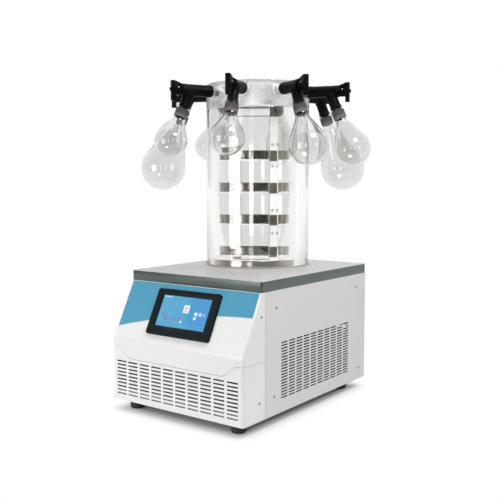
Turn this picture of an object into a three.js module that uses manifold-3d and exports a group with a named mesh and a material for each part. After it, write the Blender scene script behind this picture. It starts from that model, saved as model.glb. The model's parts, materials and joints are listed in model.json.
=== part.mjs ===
// Bench-top manifold freeze dryer, in millimetres, +Z up, front towards -Y.
// Sizes are laid out about the centre of the work surface, with the bench at Z = 0.
import * as THREE from "three";
import Module from "manifold-3d";
import { mergeVertices } from "three/addons/utils/BufferGeometryUtils.js";

const wasm = await Module();
wasm.setup();

// ---------------------------------------------------------------- driving dimensions
const CLEARANCE = 0.3; // between pieces that touch

// Base unit
const BASE_WIDTH = 440;
const TOP_DEPTH = 535;
const TOP_HEIGHT = 373; // bench to work surface
const TOP_SKIRT = 28;
const TOP_SHEET = 2;
const FOOT_HEIGHT = 28;
const FOOT_RADIUS = 20;
const FOOT_INSET_X = 46;
const FOOT_INSET_FRONT = 43.5; // from the fascia
const FOOT_INSET_REAR = 67.5; // from the work surface's rear edge
const SHEET = 2; // panel thickness
const FOLD_RADIUS = 6; // outside radius of the front's upright folds
const FRONT_REACH = 76; // front foot of the fascia ahead of the work surface
const KNEE_HEIGHT = 196;
const KNEE_RADIUS = 24;
const CHEEK_DEPTH = 91; // side return of the front covers
const JOINT_GAP = 0.8; // reveal between neighbouring covers

// Wavy joint between the upper front cover and the front grille
const SEAM_HIGH = 175;
const SEAM_LOW = 145;
const SEAM_MARGIN = 15; // level run at each edge, before the joint falls
const SEAM_FALL = 55; // width over which it falls

// Slotted fields
const FRONT_SLOTS = { margin: 14, rows: 10, pitch: 41.8, rise: 9.8, length: 33.5, height: 3.9, topZ: 134.6 };
const SIDE_SLOTS = { columns: 10, rows: 20, pitch: 35.3, rise: 7.5, length: 28.5, height: 3.4, topZ: 208.1 };
const SIDE_SLOTS_Y = -8.4; // centre of the right-hand field
const LEFT_SLOTS = { columns: 3, rows: 5, pitch: 92, rise: 20, length: 80, height: 3.9, topZ: 190 };
const REAR_SLOTS = { columns: 1, rows: 6, pitch: 130, rise: 16, length: 110, height: 3.9, topZ: 190 };
const REAR_SLOTS_INSET = 80; // from the right-hand edge to the field's centre

// Touch screen, measured down the sloping face
const BEZEL = { width: 213, height: 127, corner: 7, proud: 6, down: 79 };
const BEZEL_BODY = { width: 196, height: 114, depth: 26 };
const GLASS = { width: 162, height: 84, thickness: 1.5, up: 4 };
const BAND = { thickness: 0.6, left: 132.6, middle: 83.8, right: 64.8, top: 1.5 };

// Cold trap, set back and to the left in the work surface
const TRAP = { x: -48, y: 69, innerRadius: 105, wall: 3, depth: 173, collarRadius: 119, collarHeight: 21 };
const TRAP_HOLE_RADIUS = 112;
const FOAM = { wall: 33, floor: 14, clear: 4 };

// Drying chamber and manifold head
const CHAMBER = { x: -40, y: 75, radius: 151.5, wall: 8, height: 447, sides: 24 };
const SEAL = { height: 2.7, lip: 3.5 };
const GASKET = 2;
const HEAD = { height: 70, roof: 10, boss: 20, bossReach: 28, bore: 12.6 };
const PORTS = 8;
const PORT_START = 19; // degrees from the front, towards +X
const PORT_DROP = 24; // port axis below the head's top

// Quick-seal valves
const VALVE = { radius: 17, length: 91, stub: 12.2, stubDepth: 24, legAt: 62.5, lean: 23, legRadius: 15 };
const LEG = { shoulder: 54, collar: 17, collarHeight: 7, plug: 13.7, plugTip: 12.8, plugLength: 33 };
const KNOB = { stem: 8, stemLength: 14, axle: 5, axleProud: 4 };
// Upright wing of the knob: its depth along the axis, and its reach above and below it
const WING = { depth: 30, width: 13, rise: 24.5, crest: 9, drop: 31, tabDepth: 11, root: 15 };

// Flasks: distance of the bulb's centre from the valve's axis, down the leg, and the bulb's radius
const NECK = { radius: 18, wall: 3.2, length: 38 };
const GLASS_WALL = 2.2;
const FLASK_SIDES = 9;
const SMALL_PEAR = { centre: 155, radius: 47 };
const LARGE_PEAR = { centre: 175, radius: 53 };
const ROUND_FLASK = { centre: 230, radius: 71 };
const FLASKS = [
  SMALL_PEAR,
  LARGE_PEAR,
  LARGE_PEAR,
  ROUND_FLASK,
  LARGE_PEAR,
  SMALL_PEAR,
  ROUND_FLASK,
  SMALL_PEAR,
];
// Degrees that each valve is turned on its port, so that its flask hangs to one side
const VALVE_TURNS = [0, 0, 0, 0, 0, 13, 0, 0];

// Tray rack
const TRAY = { radius: 105, wall: 1.5, height: 25, count: 4, pitch: 89.2, first: 36.5 };
const RACK = { turn: 66, postRadius: 108, postWidth: 30, sheet: 2, top: 449, strap: 25 };
const SHELF = { inner: 86, outer: 109, thickness: 2.5 };
const RACK_FOOT = { inner: 97, thickness: 3 };

// Machinery
const PAN_WALL = 36;
// The compressor stands in the rear right-hand corner, the condenser across the front, behind the grille
const COMPRESSOR = {
  sideInset: 80,
  rearInset: 91.5,
  radius: 64,
  height: 150,
  waist: 14,
  plate: 70,
  footHeight: 10,
};
const CONDENSER = { sideInset: 65, frontInset: 21.5, depth: 36, bottom: 60, top: 188, plate: 6 };
const FAN = { radius: 54, tip: 49, hub: 17, depth: 14, blades: 5, chord: 30, x: 30 };
const FAN_MOTOR = { radius: 25, depth: 34 };
const SHROUD = { depth: 18, spoke: 8 };
const PIPE_RADIUS = 4.5;
const PIPE_INSET = 16; // hot gas pipe from the right-hand side
const LAGGING = 1.5;
const SUCTION_DROP = 133; // jacket outlet below the work surface
const INLET = { x: -150, z: 98, width: 50, height: 64, proud: 3, depth: 24 };
const SOCKET = { width: 28, height: 20, depth: 16, drop: 13 };
const ROCKER = { width: 19, height: 13, depth: 12, rise: 17 };
const VACUUM_PORT = { x: -40, z: 120, radius: 13, bore: 10, flange: 20, length: 26 };
const DRAIN = { x: 40, z: 80, radius: 8, length: 34, body: 13, lever: 42 };

// ---------------------------------------------------------------- places that follow
const BASE_BOTTOM = FOOT_HEIGHT;
const COVER_TOP = TOP_HEIGHT - TOP_SKIRT - CLEARANCE;
const HALF_WIDTH = BASE_WIDTH / 2;
const TOP_FRONT = -TOP_DEPTH / 2;
const TOP_REAR = TOP_DEPTH / 2;
const FASCIA_FRONT = TOP_FRONT - FRONT_REACH;
const CHEEK_REAR = FASCIA_FRONT + CHEEK_DEPTH;
const SLOPE_RISE = COVER_TOP - KNEE_HEIGHT;
const SLOPE_LENGTH = Math.hypot(FRONT_REACH, SLOPE_RISE);
const SLOPE_ANGLE = Math.atan2(FRONT_REACH, SLOPE_RISE); // from upright
const SEAM_OUTER_X = HALF_WIDTH - SEAM_MARGIN;
const SEAM_INNER_X = SEAM_OUTER_X - SEAM_FALL;

// ---------------------------------------------------------------- geometry helpers
function solid(geometry) {
  const bare = geometry.clone();
  bare.deleteAttribute("normal");
  bare.deleteAttribute("uv");
  const merged = mergeVertices(bare, 1e-4);
  return new wasm.Manifold(
    new wasm.Mesh({
      numProp: 3,
      vertProperties: new Float32Array(merged.attributes.position.array),
      triVerts: new Uint32Array(merged.index.array),
    }),
  );
}

function geometryOf(manifold) {
  const mesh = manifold.getMesh();
  const geometry = new THREE.BufferGeometry();
  geometry.setAttribute("position", new THREE.BufferAttribute(mesh.vertProperties, mesh.numProp));
  geometry.setIndex(new THREE.BufferAttribute(mesh.triVerts, 1));
  return geometry;
}

function joined(...geometries) {
  return geometryOf(geometries.map(solid).reduce((sum, next) => sum.add(next)));
}

function cut(geometry, ...tools) {
  return geometryOf(tools.map(solid).reduce((rest, tool) => rest.subtract(tool), solid(geometry)));
}

function common(a, b) {
  return geometryOf(solid(a).intersect(solid(b)));
}

function block(x0, x1, y0, y1, z0, z1) {
  const box = new THREE.BoxGeometry(x1 - x0, y1 - y0, z1 - z0);
  return box.translate((x0 + x1) / 2, (y0 + y1) / 2, (z0 + z1) / 2);
}

// A profile of [radius, z] corners turned about Z. It starts and ends on the axis, or is a closed loop.
function turned(profile, sides, startDegrees = 0) {
  const onAxis = profile[0][0] === 0 && profile[profile.length - 1][0] === 0;
  const loop = onAxis ? profile : [...profile, profile[0]];
  const points = loop.map(([r, z]) => new THREE.Vector2(r, z));
  const lathe = new THREE.LatheGeometry(points, sides, THREE.MathUtils.degToRad(startDegrees));
  return lathe.rotateX(Math.PI / 2);
}

// A flat outline given in two of the axes and drawn out along the third.
function drawnAlongZ(shape, z0, z1) {
  const body = new THREE.ExtrudeGeometry(shape, { depth: z1 - z0, bevelEnabled: false });
  return body.translate(0, 0, z0);
}

function drawnAlongX(shape, x0, x1) {
  const body = new THREE.ExtrudeGeometry(shape, { depth: x1 - x0, bevelEnabled: false });
  const axes = new THREE.Matrix4().makeBasis(
    new THREE.Vector3(0, 1, 0),
    new THREE.Vector3(0, 0, 1),
    new THREE.Vector3(1, 0, 0),
  );
  return body.applyMatrix4(axes).translate(x0, 0, 0);
}

function drawnAlongY(shape, y0, y1) {
  const body = new THREE.ExtrudeGeometry(shape, { depth: y1 - y0, bevelEnabled: false });
  return body.rotateX(Math.PI / 2).translate(0, y1, 0);
}

function outline(points) {
  return new THREE.Shape(points.map(([x, y]) => new THREE.Vector2(x, y)));
}

function rectangle(x0, x1, y0, y1) {
  return outline([
    [x0, y0],
    [x1, y0],
    [x1, y1],
    [x0, y1],
  ]);
}

// The corner b between a and c, rounded by chords of an arc.
function rounded(a, b, c, radius, steps) {
  const corner = new THREE.Vector2(...b);
  const toA = new THREE.Vector2(...a).sub(corner).normalize();
  const toC = new THREE.Vector2(...c).sub(corner).normalize();
  const half = Math.acos(toA.dot(toC)) / 2;
  const centre = toA.clone().add(toC).normalize().multiplyScalar(radius / Math.sin(half)).add(corner);
  const start = corner.clone().addScaledVector(toA, radius / Math.tan(half)).sub(centre);
  const end = corner.clone().addScaledVector(toC, radius / Math.tan(half)).sub(centre);
  const sweep = Math.atan2(start.cross(end), start.dot(end));
  const turn = (i) => start.clone().rotateAround(new THREE.Vector2(), (sweep * i) / steps).add(centre);
  return Array.from({ length: steps + 1 }, (_, i) => turn(i).toArray());
}

function roundedRectangle(width, height, radius, steps) {
  const x = width / 2;
  const y = height / 2;
  const corners = [
    [-x, -y],
    [x, -y],
    [x, y],
    [-x, y],
  ];
  const around = (i) => corners[(i + 4) % 4];
  return outline(corners.flatMap((b, i) => rounded(around(i - 1), b, around(i + 1), radius, steps)));
}

// Slot outlines of a field, centred on (centre, topZ downwards).
function slotField(field, centre) {
  const slots = [];
  for (let column = 0; column < field.columns; column++) {
    for (let row = 0; row < field.rows; row++) {
      const x = centre + (column - (field.columns - 1) / 2) * field.pitch;
      const z = field.topZ - row * field.rise;
      slots.push([x - field.length / 2, x + field.length / 2, z - field.height / 2, z + field.height / 2]);
    }
  }
  return slots;
}

// Forms turned about Z, laid down to point along Y.
function alongY(geometry) {
  return geometry.rotateX(-Math.PI / 2);
}

function drum(radius, y0, y1, sides) {
  return alongY(
    turned(
      [
        [0, y0],
        [radius, y0],
        [radius, y1],
        [0, y1],
      ],
      sides,
    ),
  );
}

function tube(points, radius, steps, sides) {
  const stops = points.map((p) => new THREE.Vector3(...p));
  const path = new THREE.CatmullRomCurve3(stops, false, "catmullrom", 0.4);
  const section = new THREE.Shape();
  section.absarc(0, 0, radius, 0, Math.PI * 2);
  return new THREE.ExtrudeGeometry(section, { steps, curveSegments: sides, extrudePath: path });
}

// ---------------------------------------------------------------- materials
function finish(color, roughness, metalness, extra = {}) {
  return new THREE.MeshStandardMaterial({ color, roughness, metalness, ...extra });
}

const whitePaint = finish(0xe9eaec, 0.45, 0);
const greyPaint = finish(0xcfd0d0, 0.5, 0);
const bluePrint = finish(0x4fa3d6, 0.4, 0);
const brushedSteel = finish(0xa9aba9, 0.35, 1);
const brightSteel = finish(0xb9b4a6, 0.22, 1);
const zincSteel = finish(0x9aa0a4, 0.5, 1);
const blackPlastic = finish(0x202526, 0.45, 0);
const screenFace = finish(0x3f97d6, 0.15, 0);
const rubber = finish(0x141414, 0.7, 0);
const footRubber = finish(0x2a201c, 0.8, 0);
const acrylic = finish(0xf4f6f6, 0.05, 0, { transparent: true, opacity: 0.3 });
const clearGlass = finish(0xf2f5f5, 0.03, 0, { transparent: true, opacity: 0.3 });
const gasketRubber = finish(0x6d706c, 0.6, 0);
const foam = finish(0xd9cfae, 0.9, 0);
const copper = finish(0xb87a58, 0.35, 1);
const blackPaint = finish(0x1a1a1c, 0.4, 0);
const finMetal = finish(0x8f9498, 0.55, 1);
const brass = finish(0xb59a58, 0.35, 1);

const dryer = new THREE.Group();

function place(parent, name, geometry, material) {
  const mesh = new THREE.Mesh(geometry, material);
  mesh.name = name;
  parent.add(mesh);
  return mesh;
}

// ---------------------------------------------------------------- front covers
// Side view of the front, moved inwards by inset: bottom, knee, slope, top, then back to the cheek's rear.
function frontSideView(inset) {
  const reach = inset > 0 ? 5 : 0; // the inner form runs out of the open bottom, top and rear
  const slope = (z) => TOP_FRONT - ((COVER_TOP - z) * FRONT_REACH) / SLOPE_RISE;
  const shift = inset / Math.cos(SLOPE_ANGLE);
  const front = FASCIA_FRONT + inset;
  const kneeZ = COVER_TOP - ((TOP_FRONT + shift - front) * SLOPE_RISE) / FRONT_REACH;
  const bottom = [front, BASE_BOTTOM - reach];
  const top = [slope(COVER_TOP + reach) + shift, COVER_TOP + reach];
  const knee = rounded(bottom, [front, kneeZ], top, KNEE_RADIUS - inset, 4);
  const rear = CHEEK_REAR + reach;
  return outline([bottom, ...knee, top, [rear, COVER_TOP + reach], [rear, BASE_BOTTOM - reach]]);
}

function frontPlanView(inset) {
  const reach = inset > 0 ? 5 : 0;
  const x = HALF_WIDTH - inset;
  const front = FASCIA_FRONT + inset;
  const rear = CHEEK_REAR + reach;
  const radius = FOLD_RADIUS - inset;
  const left = rounded([-x, rear], [-x, front], [x, front], radius, 3);
  const right = rounded([-x, front], [x, front], [x, rear], radius, 3);
  return outline([[-x, rear], ...left, ...right, [x, rear]]);
}

// Upright folds below the knee, and the same folds leaning back with the slope above it.
function frontFolds(inset) {
  const reach = inset > 0 ? 5 : 0;
  const plan = frontPlanView(inset);
  const upright = drawnAlongZ(plan, BASE_BOTTOM - reach, KNEE_HEIGHT);
  const leaning = drawnAlongZ(plan, 0, COVER_TOP + reach - KNEE_HEIGHT);
  const lean = new THREE.Matrix4().set(1, 0, 0, 0, 0, 1, FRONT_REACH / SLOPE_RISE, 0, 0, 0, 1, 0, 0, 0, 0, 1);
  return joined(upright, leaning.applyMatrix4(lean).translate(0, 0, KNEE_HEIGHT));
}

function frontForm(inset) {
  return common(drawnAlongX(frontSideView(inset), -HALF_WIDTH, HALF_WIDTH), frontFolds(inset));
}

// Everything below the wavy joint, which is shifted up or down by half its gap.
function belowSeam(shift) {
  const high = SEAM_HIGH + shift;
  const low = SEAM_LOW + shift;
  const middle = (SEAM_OUTER_X + SEAM_INNER_X) / 2;
  const side = HALF_WIDTH + 1;
  const shape = new THREE.Shape();
  shape.moveTo(-side, BASE_BOTTOM - 1);
  shape.lineTo(side, BASE_BOTTOM - 1);
  shape.lineTo(side, high);
  shape.lineTo(SEAM_OUTER_X, high);
  shape.bezierCurveTo(middle, high, middle, low, SEAM_INNER_X, low);
  shape.lineTo(-SEAM_INNER_X, low);
  shape.bezierCurveTo(-middle, low, -middle, high, -SEAM_OUTER_X, high);
  shape.lineTo(-side, high);
  const flat = outline(shape.getPoints(5).map((p) => p.toArray()));
  return drawnAlongY(flat, FASCIA_FRONT - 1, CHEEK_REAR + 1);
}

const frontShell = cut(frontForm(0), frontForm(SHEET));

function withSlots(geometry, slots) {
  return geometryOf(solid(geometry).subtract(wasm.Manifold.union(slots.map(solid))));
}

function frontGrille() {
  const cover = common(frontShell, belowSeam(-JOINT_GAP / 2));
  const run = BASE_WIDTH - 2 * FRONT_SLOTS.margin - FRONT_SLOTS.length;
  const columns = Math.floor(run / FRONT_SLOTS.pitch) + 1;
  const slots = slotField({ ...FRONT_SLOTS, columns }, 0).map(([x0, x1, z0, z1]) =>
    block(x0, x1, FASCIA_FRONT - 1, FASCIA_FRONT + SHEET + 1, z0, z1),
  );
  return withSlots(cover, slots);
}

// The sloping face's own frame: X across, Y up the slope, Z out of the face, origin at its top edge.
const slopeFace = new THREE.Group();
slopeFace.position.set(0, TOP_FRONT, COVER_TOP);
slopeFace.rotation.x = Math.PI / 2 - SLOPE_ANGLE;
slopeFace.updateMatrix();
dryer.add(slopeFace);

function onSlope(geometry) {
  return geometry.applyMatrix4(slopeFace.matrix);
}

function upperCover() {
  const upper = cut(frontShell, belowSeam(JOINT_GAP / 2));
  const halfX = BEZEL_BODY.width / 2 + 2;
  const halfY = BEZEL_BODY.height / 2 + 2;
  const window = block(-halfX, halfX, -BEZEL.down - halfY, -BEZEL.down + halfY, -SHEET * 3, SHEET * 3);
  return cut(upper, onSlope(window));
}

place(dryer, "lower_front_grille", frontGrille(), whitePaint);
place(dryer, "upper_front_cover", upperCover(), whitePaint);

// ---------------------------------------------------------------- touch screen
const bezelPlate = drawnAlongZ(
  roundedRectangle(BEZEL.width, BEZEL.height, BEZEL.corner, 2),
  CLEARANCE,
  BEZEL.proud + CLEARANCE,
);
const bezelBody = block(
  -BEZEL_BODY.width / 2,
  BEZEL_BODY.width / 2,
  -BEZEL_BODY.height / 2,
  BEZEL_BODY.height / 2,
  -BEZEL_BODY.depth,
  CLEARANCE + 1,
);
const glassFront = BEZEL.proud + CLEARANCE - 0.6;
const glassBack = glassFront - GLASS.thickness;
const glassPocket = block(
  -GLASS.width / 2 - CLEARANCE,
  GLASS.width / 2 + CLEARANCE,
  GLASS.up - GLASS.height / 2 - CLEARANCE,
  GLASS.up + GLASS.height / 2 + CLEARANCE,
  glassBack - CLEARANCE,
  BEZEL.proud + 1,
);
const screen = new THREE.Group();
screen.position.y = -BEZEL.down;
slopeFace.add(screen);
place(screen, "screen_bezel", cut(joined(bezelPlate, bezelBody), glassPocket), blackPlastic);
const glassPane = block(
  -GLASS.width / 2,
  GLASS.width / 2,
  GLASS.up - GLASS.height / 2,
  GLASS.up + GLASS.height / 2,
  glassBack,
  glassFront,
);
place(screen, "screen_glass", glassPane, screenFace);

// Printed film over the top of the slope: its lower edge is a shallow parabola behind the bezel.
function printedBand() {
  const edge = HALF_WIDTH - FOLD_RADIUS;
  const bow = (BAND.left + BAND.right) / 2 - BAND.middle;
  const drop = (x) => {
    const t = x / edge;
    return BAND.middle + ((BAND.right - BAND.left) / 2) * t + bow * t * t;
  };
  const hole = BEZEL.width / 2 + CLEARANCE;
  const holeTop = BEZEL.down - BEZEL.height / 2 - CLEARANCE;
  const along = (x0, x1, steps) =>
    Array.from({ length: steps + 1 }, (_, i) => x0 + ((x1 - x0) * i) / steps).map((x) => [x, -drop(x)]);
  const shape = outline([
    [-edge, -BAND.top],
    ...along(-edge, -hole, 4),
    [-hole, -holeTop],
    [hole, -holeTop],
    ...along(hole, edge, 4),
    [edge, -BAND.top],
  ]);
  return drawnAlongZ(shape, CLEARANCE, CLEARANCE + BAND.thickness);
}

place(slopeFace, "printed_band", printedBand(), bluePrint);

// ---------------------------------------------------------------- side and rear panels
const PANEL_FRONT = CHEEK_REAR + JOINT_GAP;

function sidePanel(x0, x1, field) {
  const panel = block(x0, x1, PANEL_FRONT, TOP_REAR, BASE_BOTTOM, COVER_TOP);
  const slots = slotField(field, SIDE_SLOTS_Y).map(([y0, y1, z0, z1]) =>
    block(x0 - 1, x1 + 1, y0, y1, z0, z1),
  );
  return withSlots(panel, slots);
}

const rightPanel = sidePanel(HALF_WIDTH - SHEET, HALF_WIDTH, SIDE_SLOTS);
place(dryer, "right_side_panel", rightPanel, greyPaint);
const leftPanel = sidePanel(-HALF_WIDTH, SHEET - HALF_WIDTH, LEFT_SLOTS);
place(dryer, "left_side_panel", leftPanel, greyPaint);

const REAR_HALF = HALF_WIDTH - SHEET - CLEARANCE;
const inletBody = { halfX: INLET.width / 2 - 3, halfZ: INLET.height / 2 - 3 };

function rearPanel() {
  const panel = block(-REAR_HALF, REAR_HALF, TOP_REAR - SHEET, TOP_REAR, BASE_BOTTOM, COVER_TOP);
  const through = (x0, x1, z0, z1) => block(x0, x1, TOP_REAR - SHEET - 1, TOP_REAR + 1, z0, z1);
  const slots = slotField(REAR_SLOTS, HALF_WIDTH - REAR_SLOTS_INSET).map((slot) => through(...slot));
  const halfX = inletBody.halfX + CLEARANCE;
  const halfZ = inletBody.halfZ + CLEARANCE;
  slots.push(through(INLET.x - halfX, INLET.x + halfX, INLET.z - halfZ, INLET.z + halfZ));
  for (const { x, z, radius } of [VACUUM_PORT, DRAIN]) {
    slots.push(drum(radius + 1, TOP_REAR - SHEET - 1, TOP_REAR + 1, 12).translate(x, 0, z));
  }
  return withSlots(panel, slots);
}

place(dryer, "rear_panel", rearPanel(), greyPaint);

// ---------------------------------------------------------------- work surface, pan and feet
function workSurface() {
  const outer = block(-HALF_WIDTH, HALF_WIDTH, TOP_FRONT, TOP_REAR, TOP_HEIGHT - TOP_SKIRT, TOP_HEIGHT);
  const inner = block(
    TOP_SHEET - HALF_WIDTH,
    HALF_WIDTH - TOP_SHEET,
    TOP_FRONT + TOP_SHEET,
    TOP_REAR - TOP_SHEET,
    TOP_HEIGHT - TOP_SKIRT - 1,
    TOP_HEIGHT - TOP_SHEET,
  );
  const mouth = turned(
    [
      [0, TOP_HEIGHT - TOP_SKIRT],
      [TRAP_HOLE_RADIUS, TOP_HEIGHT - TOP_SKIRT],
      [TRAP_HOLE_RADIUS, TOP_HEIGHT + 1],
      [0, TOP_HEIGHT + 1],
    ],
    16,
  );
  return cut(outer, inner, mouth.translate(TRAP.x, TRAP.y, 0));
}

place(dryer, "top_plate", workSurface(), brushedSteel);

const PAN_SIDE = HALF_WIDTH - SHEET - CLEARANCE;
const PAN_FRONT = FASCIA_FRONT + SHEET + CLEARANCE;
const PAN_REAR = TOP_REAR - SHEET - CLEARANCE;
const panOuter = block(-PAN_SIDE, PAN_SIDE, PAN_FRONT, PAN_REAR, BASE_BOTTOM, BASE_BOTTOM + PAN_WALL);
const panInner = block(
  SHEET - PAN_SIDE,
  PAN_SIDE - SHEET,
  PAN_FRONT + SHEET,
  PAN_REAR - SHEET,
  BASE_BOTTOM + SHEET,
  BASE_BOTTOM + PAN_WALL + 1,
);
const PAN_FLOOR = BASE_BOTTOM + SHEET;
// The front corners follow the covers' folds.
const panForm = common(cut(panOuter, panInner), frontPanLimit());
place(dryer, "base_pan", panForm, zincSteel);

function frontPanLimit() {
  const inset = SHEET + CLEARANCE;
  const x = HALF_WIDTH - inset;
  const front = FASCIA_FRONT + inset;
  const left = rounded([-x, TOP_REAR], [-x, front], [x, front], FOLD_RADIUS - inset, 2);
  const right = rounded([-x, front], [x, front], [x, TOP_REAR], FOLD_RADIUS - inset, 2);
  const shape = outline([[-x, TOP_REAR], ...left, ...right, [x, TOP_REAR]]);
  return drawnAlongZ(shape, BASE_BOTTOM - 1, BASE_BOTTOM + PAN_WALL + 2);
}

const footForm = turned(
  [
    [0, 0],
    [FOOT_RADIUS - 3, 0],
    [FOOT_RADIUS, 5],
    [FOOT_RADIUS - 2, FOOT_HEIGHT - CLEARANCE],
    [0, FOOT_HEIGHT - CLEARANCE],
  ],
  8,
);
for (const [name, side, y] of [
  ["foot_front_left", -1, FASCIA_FRONT + FOOT_INSET_FRONT],
  ["foot_front_right", 1, FASCIA_FRONT + FOOT_INSET_FRONT],
  ["foot_rear_left", -1, TOP_REAR - FOOT_INSET_REAR],
  ["foot_rear_right", 1, TOP_REAR - FOOT_INSET_REAR],
]) {
  place(dryer, name, footForm, footRubber).position.set(side * (HALF_WIDTH - FOOT_INSET_X), y, 0);
}

// ---------------------------------------------------------------- cold trap
const trap = new THREE.Group();
trap.position.set(TRAP.x, TRAP.y, TOP_HEIGHT);
dryer.add(trap);
const potRadius = TRAP.innerRadius + TRAP.wall;
const potBottom = -TRAP.depth - TRAP.wall;
const potForm = turned(
  [
    [0, potBottom],
    [potRadius, potBottom],
    [potRadius, CLEARANCE],
    [TRAP.collarRadius, CLEARANCE],
    [TRAP.collarRadius, TRAP.collarHeight],
    [TRAP.innerRadius, TRAP.collarHeight],
    [TRAP.innerRadius, -TRAP.depth],
    [0, -TRAP.depth],
  ],
  16,
);
place(trap, "cold_trap_pot", potForm, brightSteel);
const foamInner = potRadius + FOAM.clear;
const foamTop = -TOP_SHEET - CLEARANCE;
const foamForm = turned(
  [
    [0, potBottom - FOAM.clear - FOAM.floor],
    [foamInner + FOAM.wall, potBottom - FOAM.clear - FOAM.floor],
    [foamInner + FOAM.wall, foamTop],
    [foamInner, foamTop],
    [foamInner, potBottom - FOAM.clear],
    [0, potBottom - FOAM.clear],
  ],
  12,
);
place(trap, "trap_insulation", foamForm, foam);

// ---------------------------------------------------------------- chamber
const chamber = new THREE.Group();
chamber.position.set(CHAMBER.x, CHAMBER.y, TOP_HEIGHT);
dryer.add(chamber);
const bore = CHAMBER.radius - CHAMBER.wall;
// Facets are turned so that each port leaves through the middle of one.
const PHASE = PORT_START - 180 / CHAMBER.sides;
const sealTop = CLEARANCE + SEAL.height;
const tubeFoot = sealTop + CLEARANCE;
const tubeTop = tubeFoot + CHAMBER.height;
const gasketTop = tubeTop + CLEARANCE + GASKET;
const headFoot = gasketTop + CLEARANCE;
const headTop = headFoot + HEAD.height;
const portZ = headTop - PORT_DROP;

function ring(inner, outer, z0, z1, sides) {
  return turned(
    [
      [inner, z0],
      [outer, z0],
      [outer, z1],
      [inner, z1],
    ],
    sides,
    PHASE,
  );
}

place(chamber, "chamber_seal", ring(bore - 1, CHAMBER.radius + SEAL.lip, CLEARANCE, sealTop, 12), rubber);
place(chamber, "chamber_cylinder", ring(bore, CHAMBER.radius, tubeFoot, tubeTop, CHAMBER.sides), acrylic);
const gasketForm = ring(bore, CHAMBER.radius, tubeTop + CLEARANCE, gasketTop, CHAMBER.sides);
place(chamber, "head_gasket", gasketForm, gasketRubber);

// Local X points out of the port.
function alongX(geometry) {
  return geometry.rotateY(Math.PI / 2);
}

function bar(radius, x0, x1, sides) {
  return alongX(
    turned(
      [
        [0, x0],
        [radius, x0],
        [radius, x1],
        [0, x1],
      ],
      sides,
    ),
  );
}

function portTurn(index) {
  return THREE.MathUtils.degToRad(PORT_START + (index * 360) / PORTS - 90);
}

function valveTurn(index) {
  return THREE.MathUtils.degToRad(VALVE_TURNS[index]);
}

// Moves a form drawn along the X axis to its port.
function toPort(geometry, index) {
  return geometry.rotateX(valveTurn(index)).translate(0, 0, portZ).rotateZ(portTurn(index));
}

function headWithPorts() {
  let head = solid(headShell());
  for (let i = 0; i < PORTS; i++) {
    const boss = bar(HEAD.boss, bore - HEAD.bossReach, bore + CHAMBER.wall / 2, 6);
    head = head.add(solid(toPort(boss, i)));
  }
  for (let i = 0; i < PORTS; i++) {
    const hole = bar(HEAD.bore, bore - HEAD.bossReach - 2, CHAMBER.radius + 2, 6);
    head = head.subtract(solid(toPort(hole, i)));
  }
  return geometryOf(head);
}

function headShell() {
  return turned(
    [
      [0, headTop - HEAD.roof],
      [bore, headTop - HEAD.roof],
      [bore, headFoot],
      [CHAMBER.radius, headFoot],
      [CHAMBER.radius, headTop],
      [0, headTop],
    ],
    CHAMBER.sides,
    PHASE,
  );
}

place(chamber, "manifold_head", headWithPorts(), acrylic);

// ---------------------------------------------------------------- valves and flasks
const valveFoot = CHAMBER.radius * Math.cos(Math.PI / CHAMBER.sides) + CLEARANCE;
const valveEnd = valveFoot + VALVE.length;
const legX = CHAMBER.radius + VALVE.legAt;
const legTurn = -THREE.MathUtils.degToRad(VALVE.lean);

// Moves a form drawn down the Z axis to the leaning leg.
function downLeg(geometry) {
  return geometry.rotateY(legTurn).translate(legX, 0, 0);
}

function valveBody() {
  const stub = bar(VALVE.stub, CHAMBER.radius - VALVE.stubDepth, valveFoot + 4, 6);
  const barrel = bar(VALVE.radius, valveFoot, valveEnd, 8);
  const tip = -LEG.shoulder - LEG.plugLength;
  const leg = turned(
    [
      [0, tip],
      [LEG.plugTip, tip],
      [LEG.plug, -LEG.shoulder],
      [LEG.collar, -LEG.shoulder],
      [VALVE.legRadius, -LEG.shoulder + LEG.collarHeight],
      [VALVE.legRadius, 0],
      [0, 0],
    ],
    8,
  );
  const socket = bar(KNOB.stem + 1.5, valveEnd - KNOB.stemLength - 1, valveEnd + 1, 6);
  return cut(joined(stub, barrel, downLeg(leg)), socket);
}

function valveKnob() {
  const start = valveEnd + CLEARANCE;
  const end = start + WING.depth;
  const stem = bar(KNOB.stem, start - KNOB.stemLength, start + 1, 4);
  const axle = bar(KNOB.axle, end - 1, end + KNOB.axleProud, 6);
  const side = outline([
    [start, VALVE.radius],
    [end - WING.crest, WING.rise],
    [end, WING.rise],
    [end, -WING.drop],
    [end - WING.tabDepth, -WING.drop],
    [end - WING.tabDepth, -WING.root],
    [start, -WING.root],
  ]);
  return joined(stem, axle, drawnAlongY(side, -WING.width / 2, WING.width / 2));
}

// Radius and distance down the leg of the bulb's outline, from where the cone meets it to its lowest point.
function bulbArc(neckRadius, neckEnd, centre, radius, steps) {
  const toNeck = Math.hypot(neckRadius, centre - neckEnd);
  const first = Math.atan2(neckRadius, centre - neckEnd) + Math.acos(radius / toNeck);
  const angles = Array.from({ length: steps + 1 }, (_, i) => first + ((Math.PI - first) * i) / steps);
  const arc = angles.map((a) => [radius * Math.sin(a), -(centre - radius * Math.cos(a))]);
  arc[steps][0] = 0;
  return arc;
}

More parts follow.
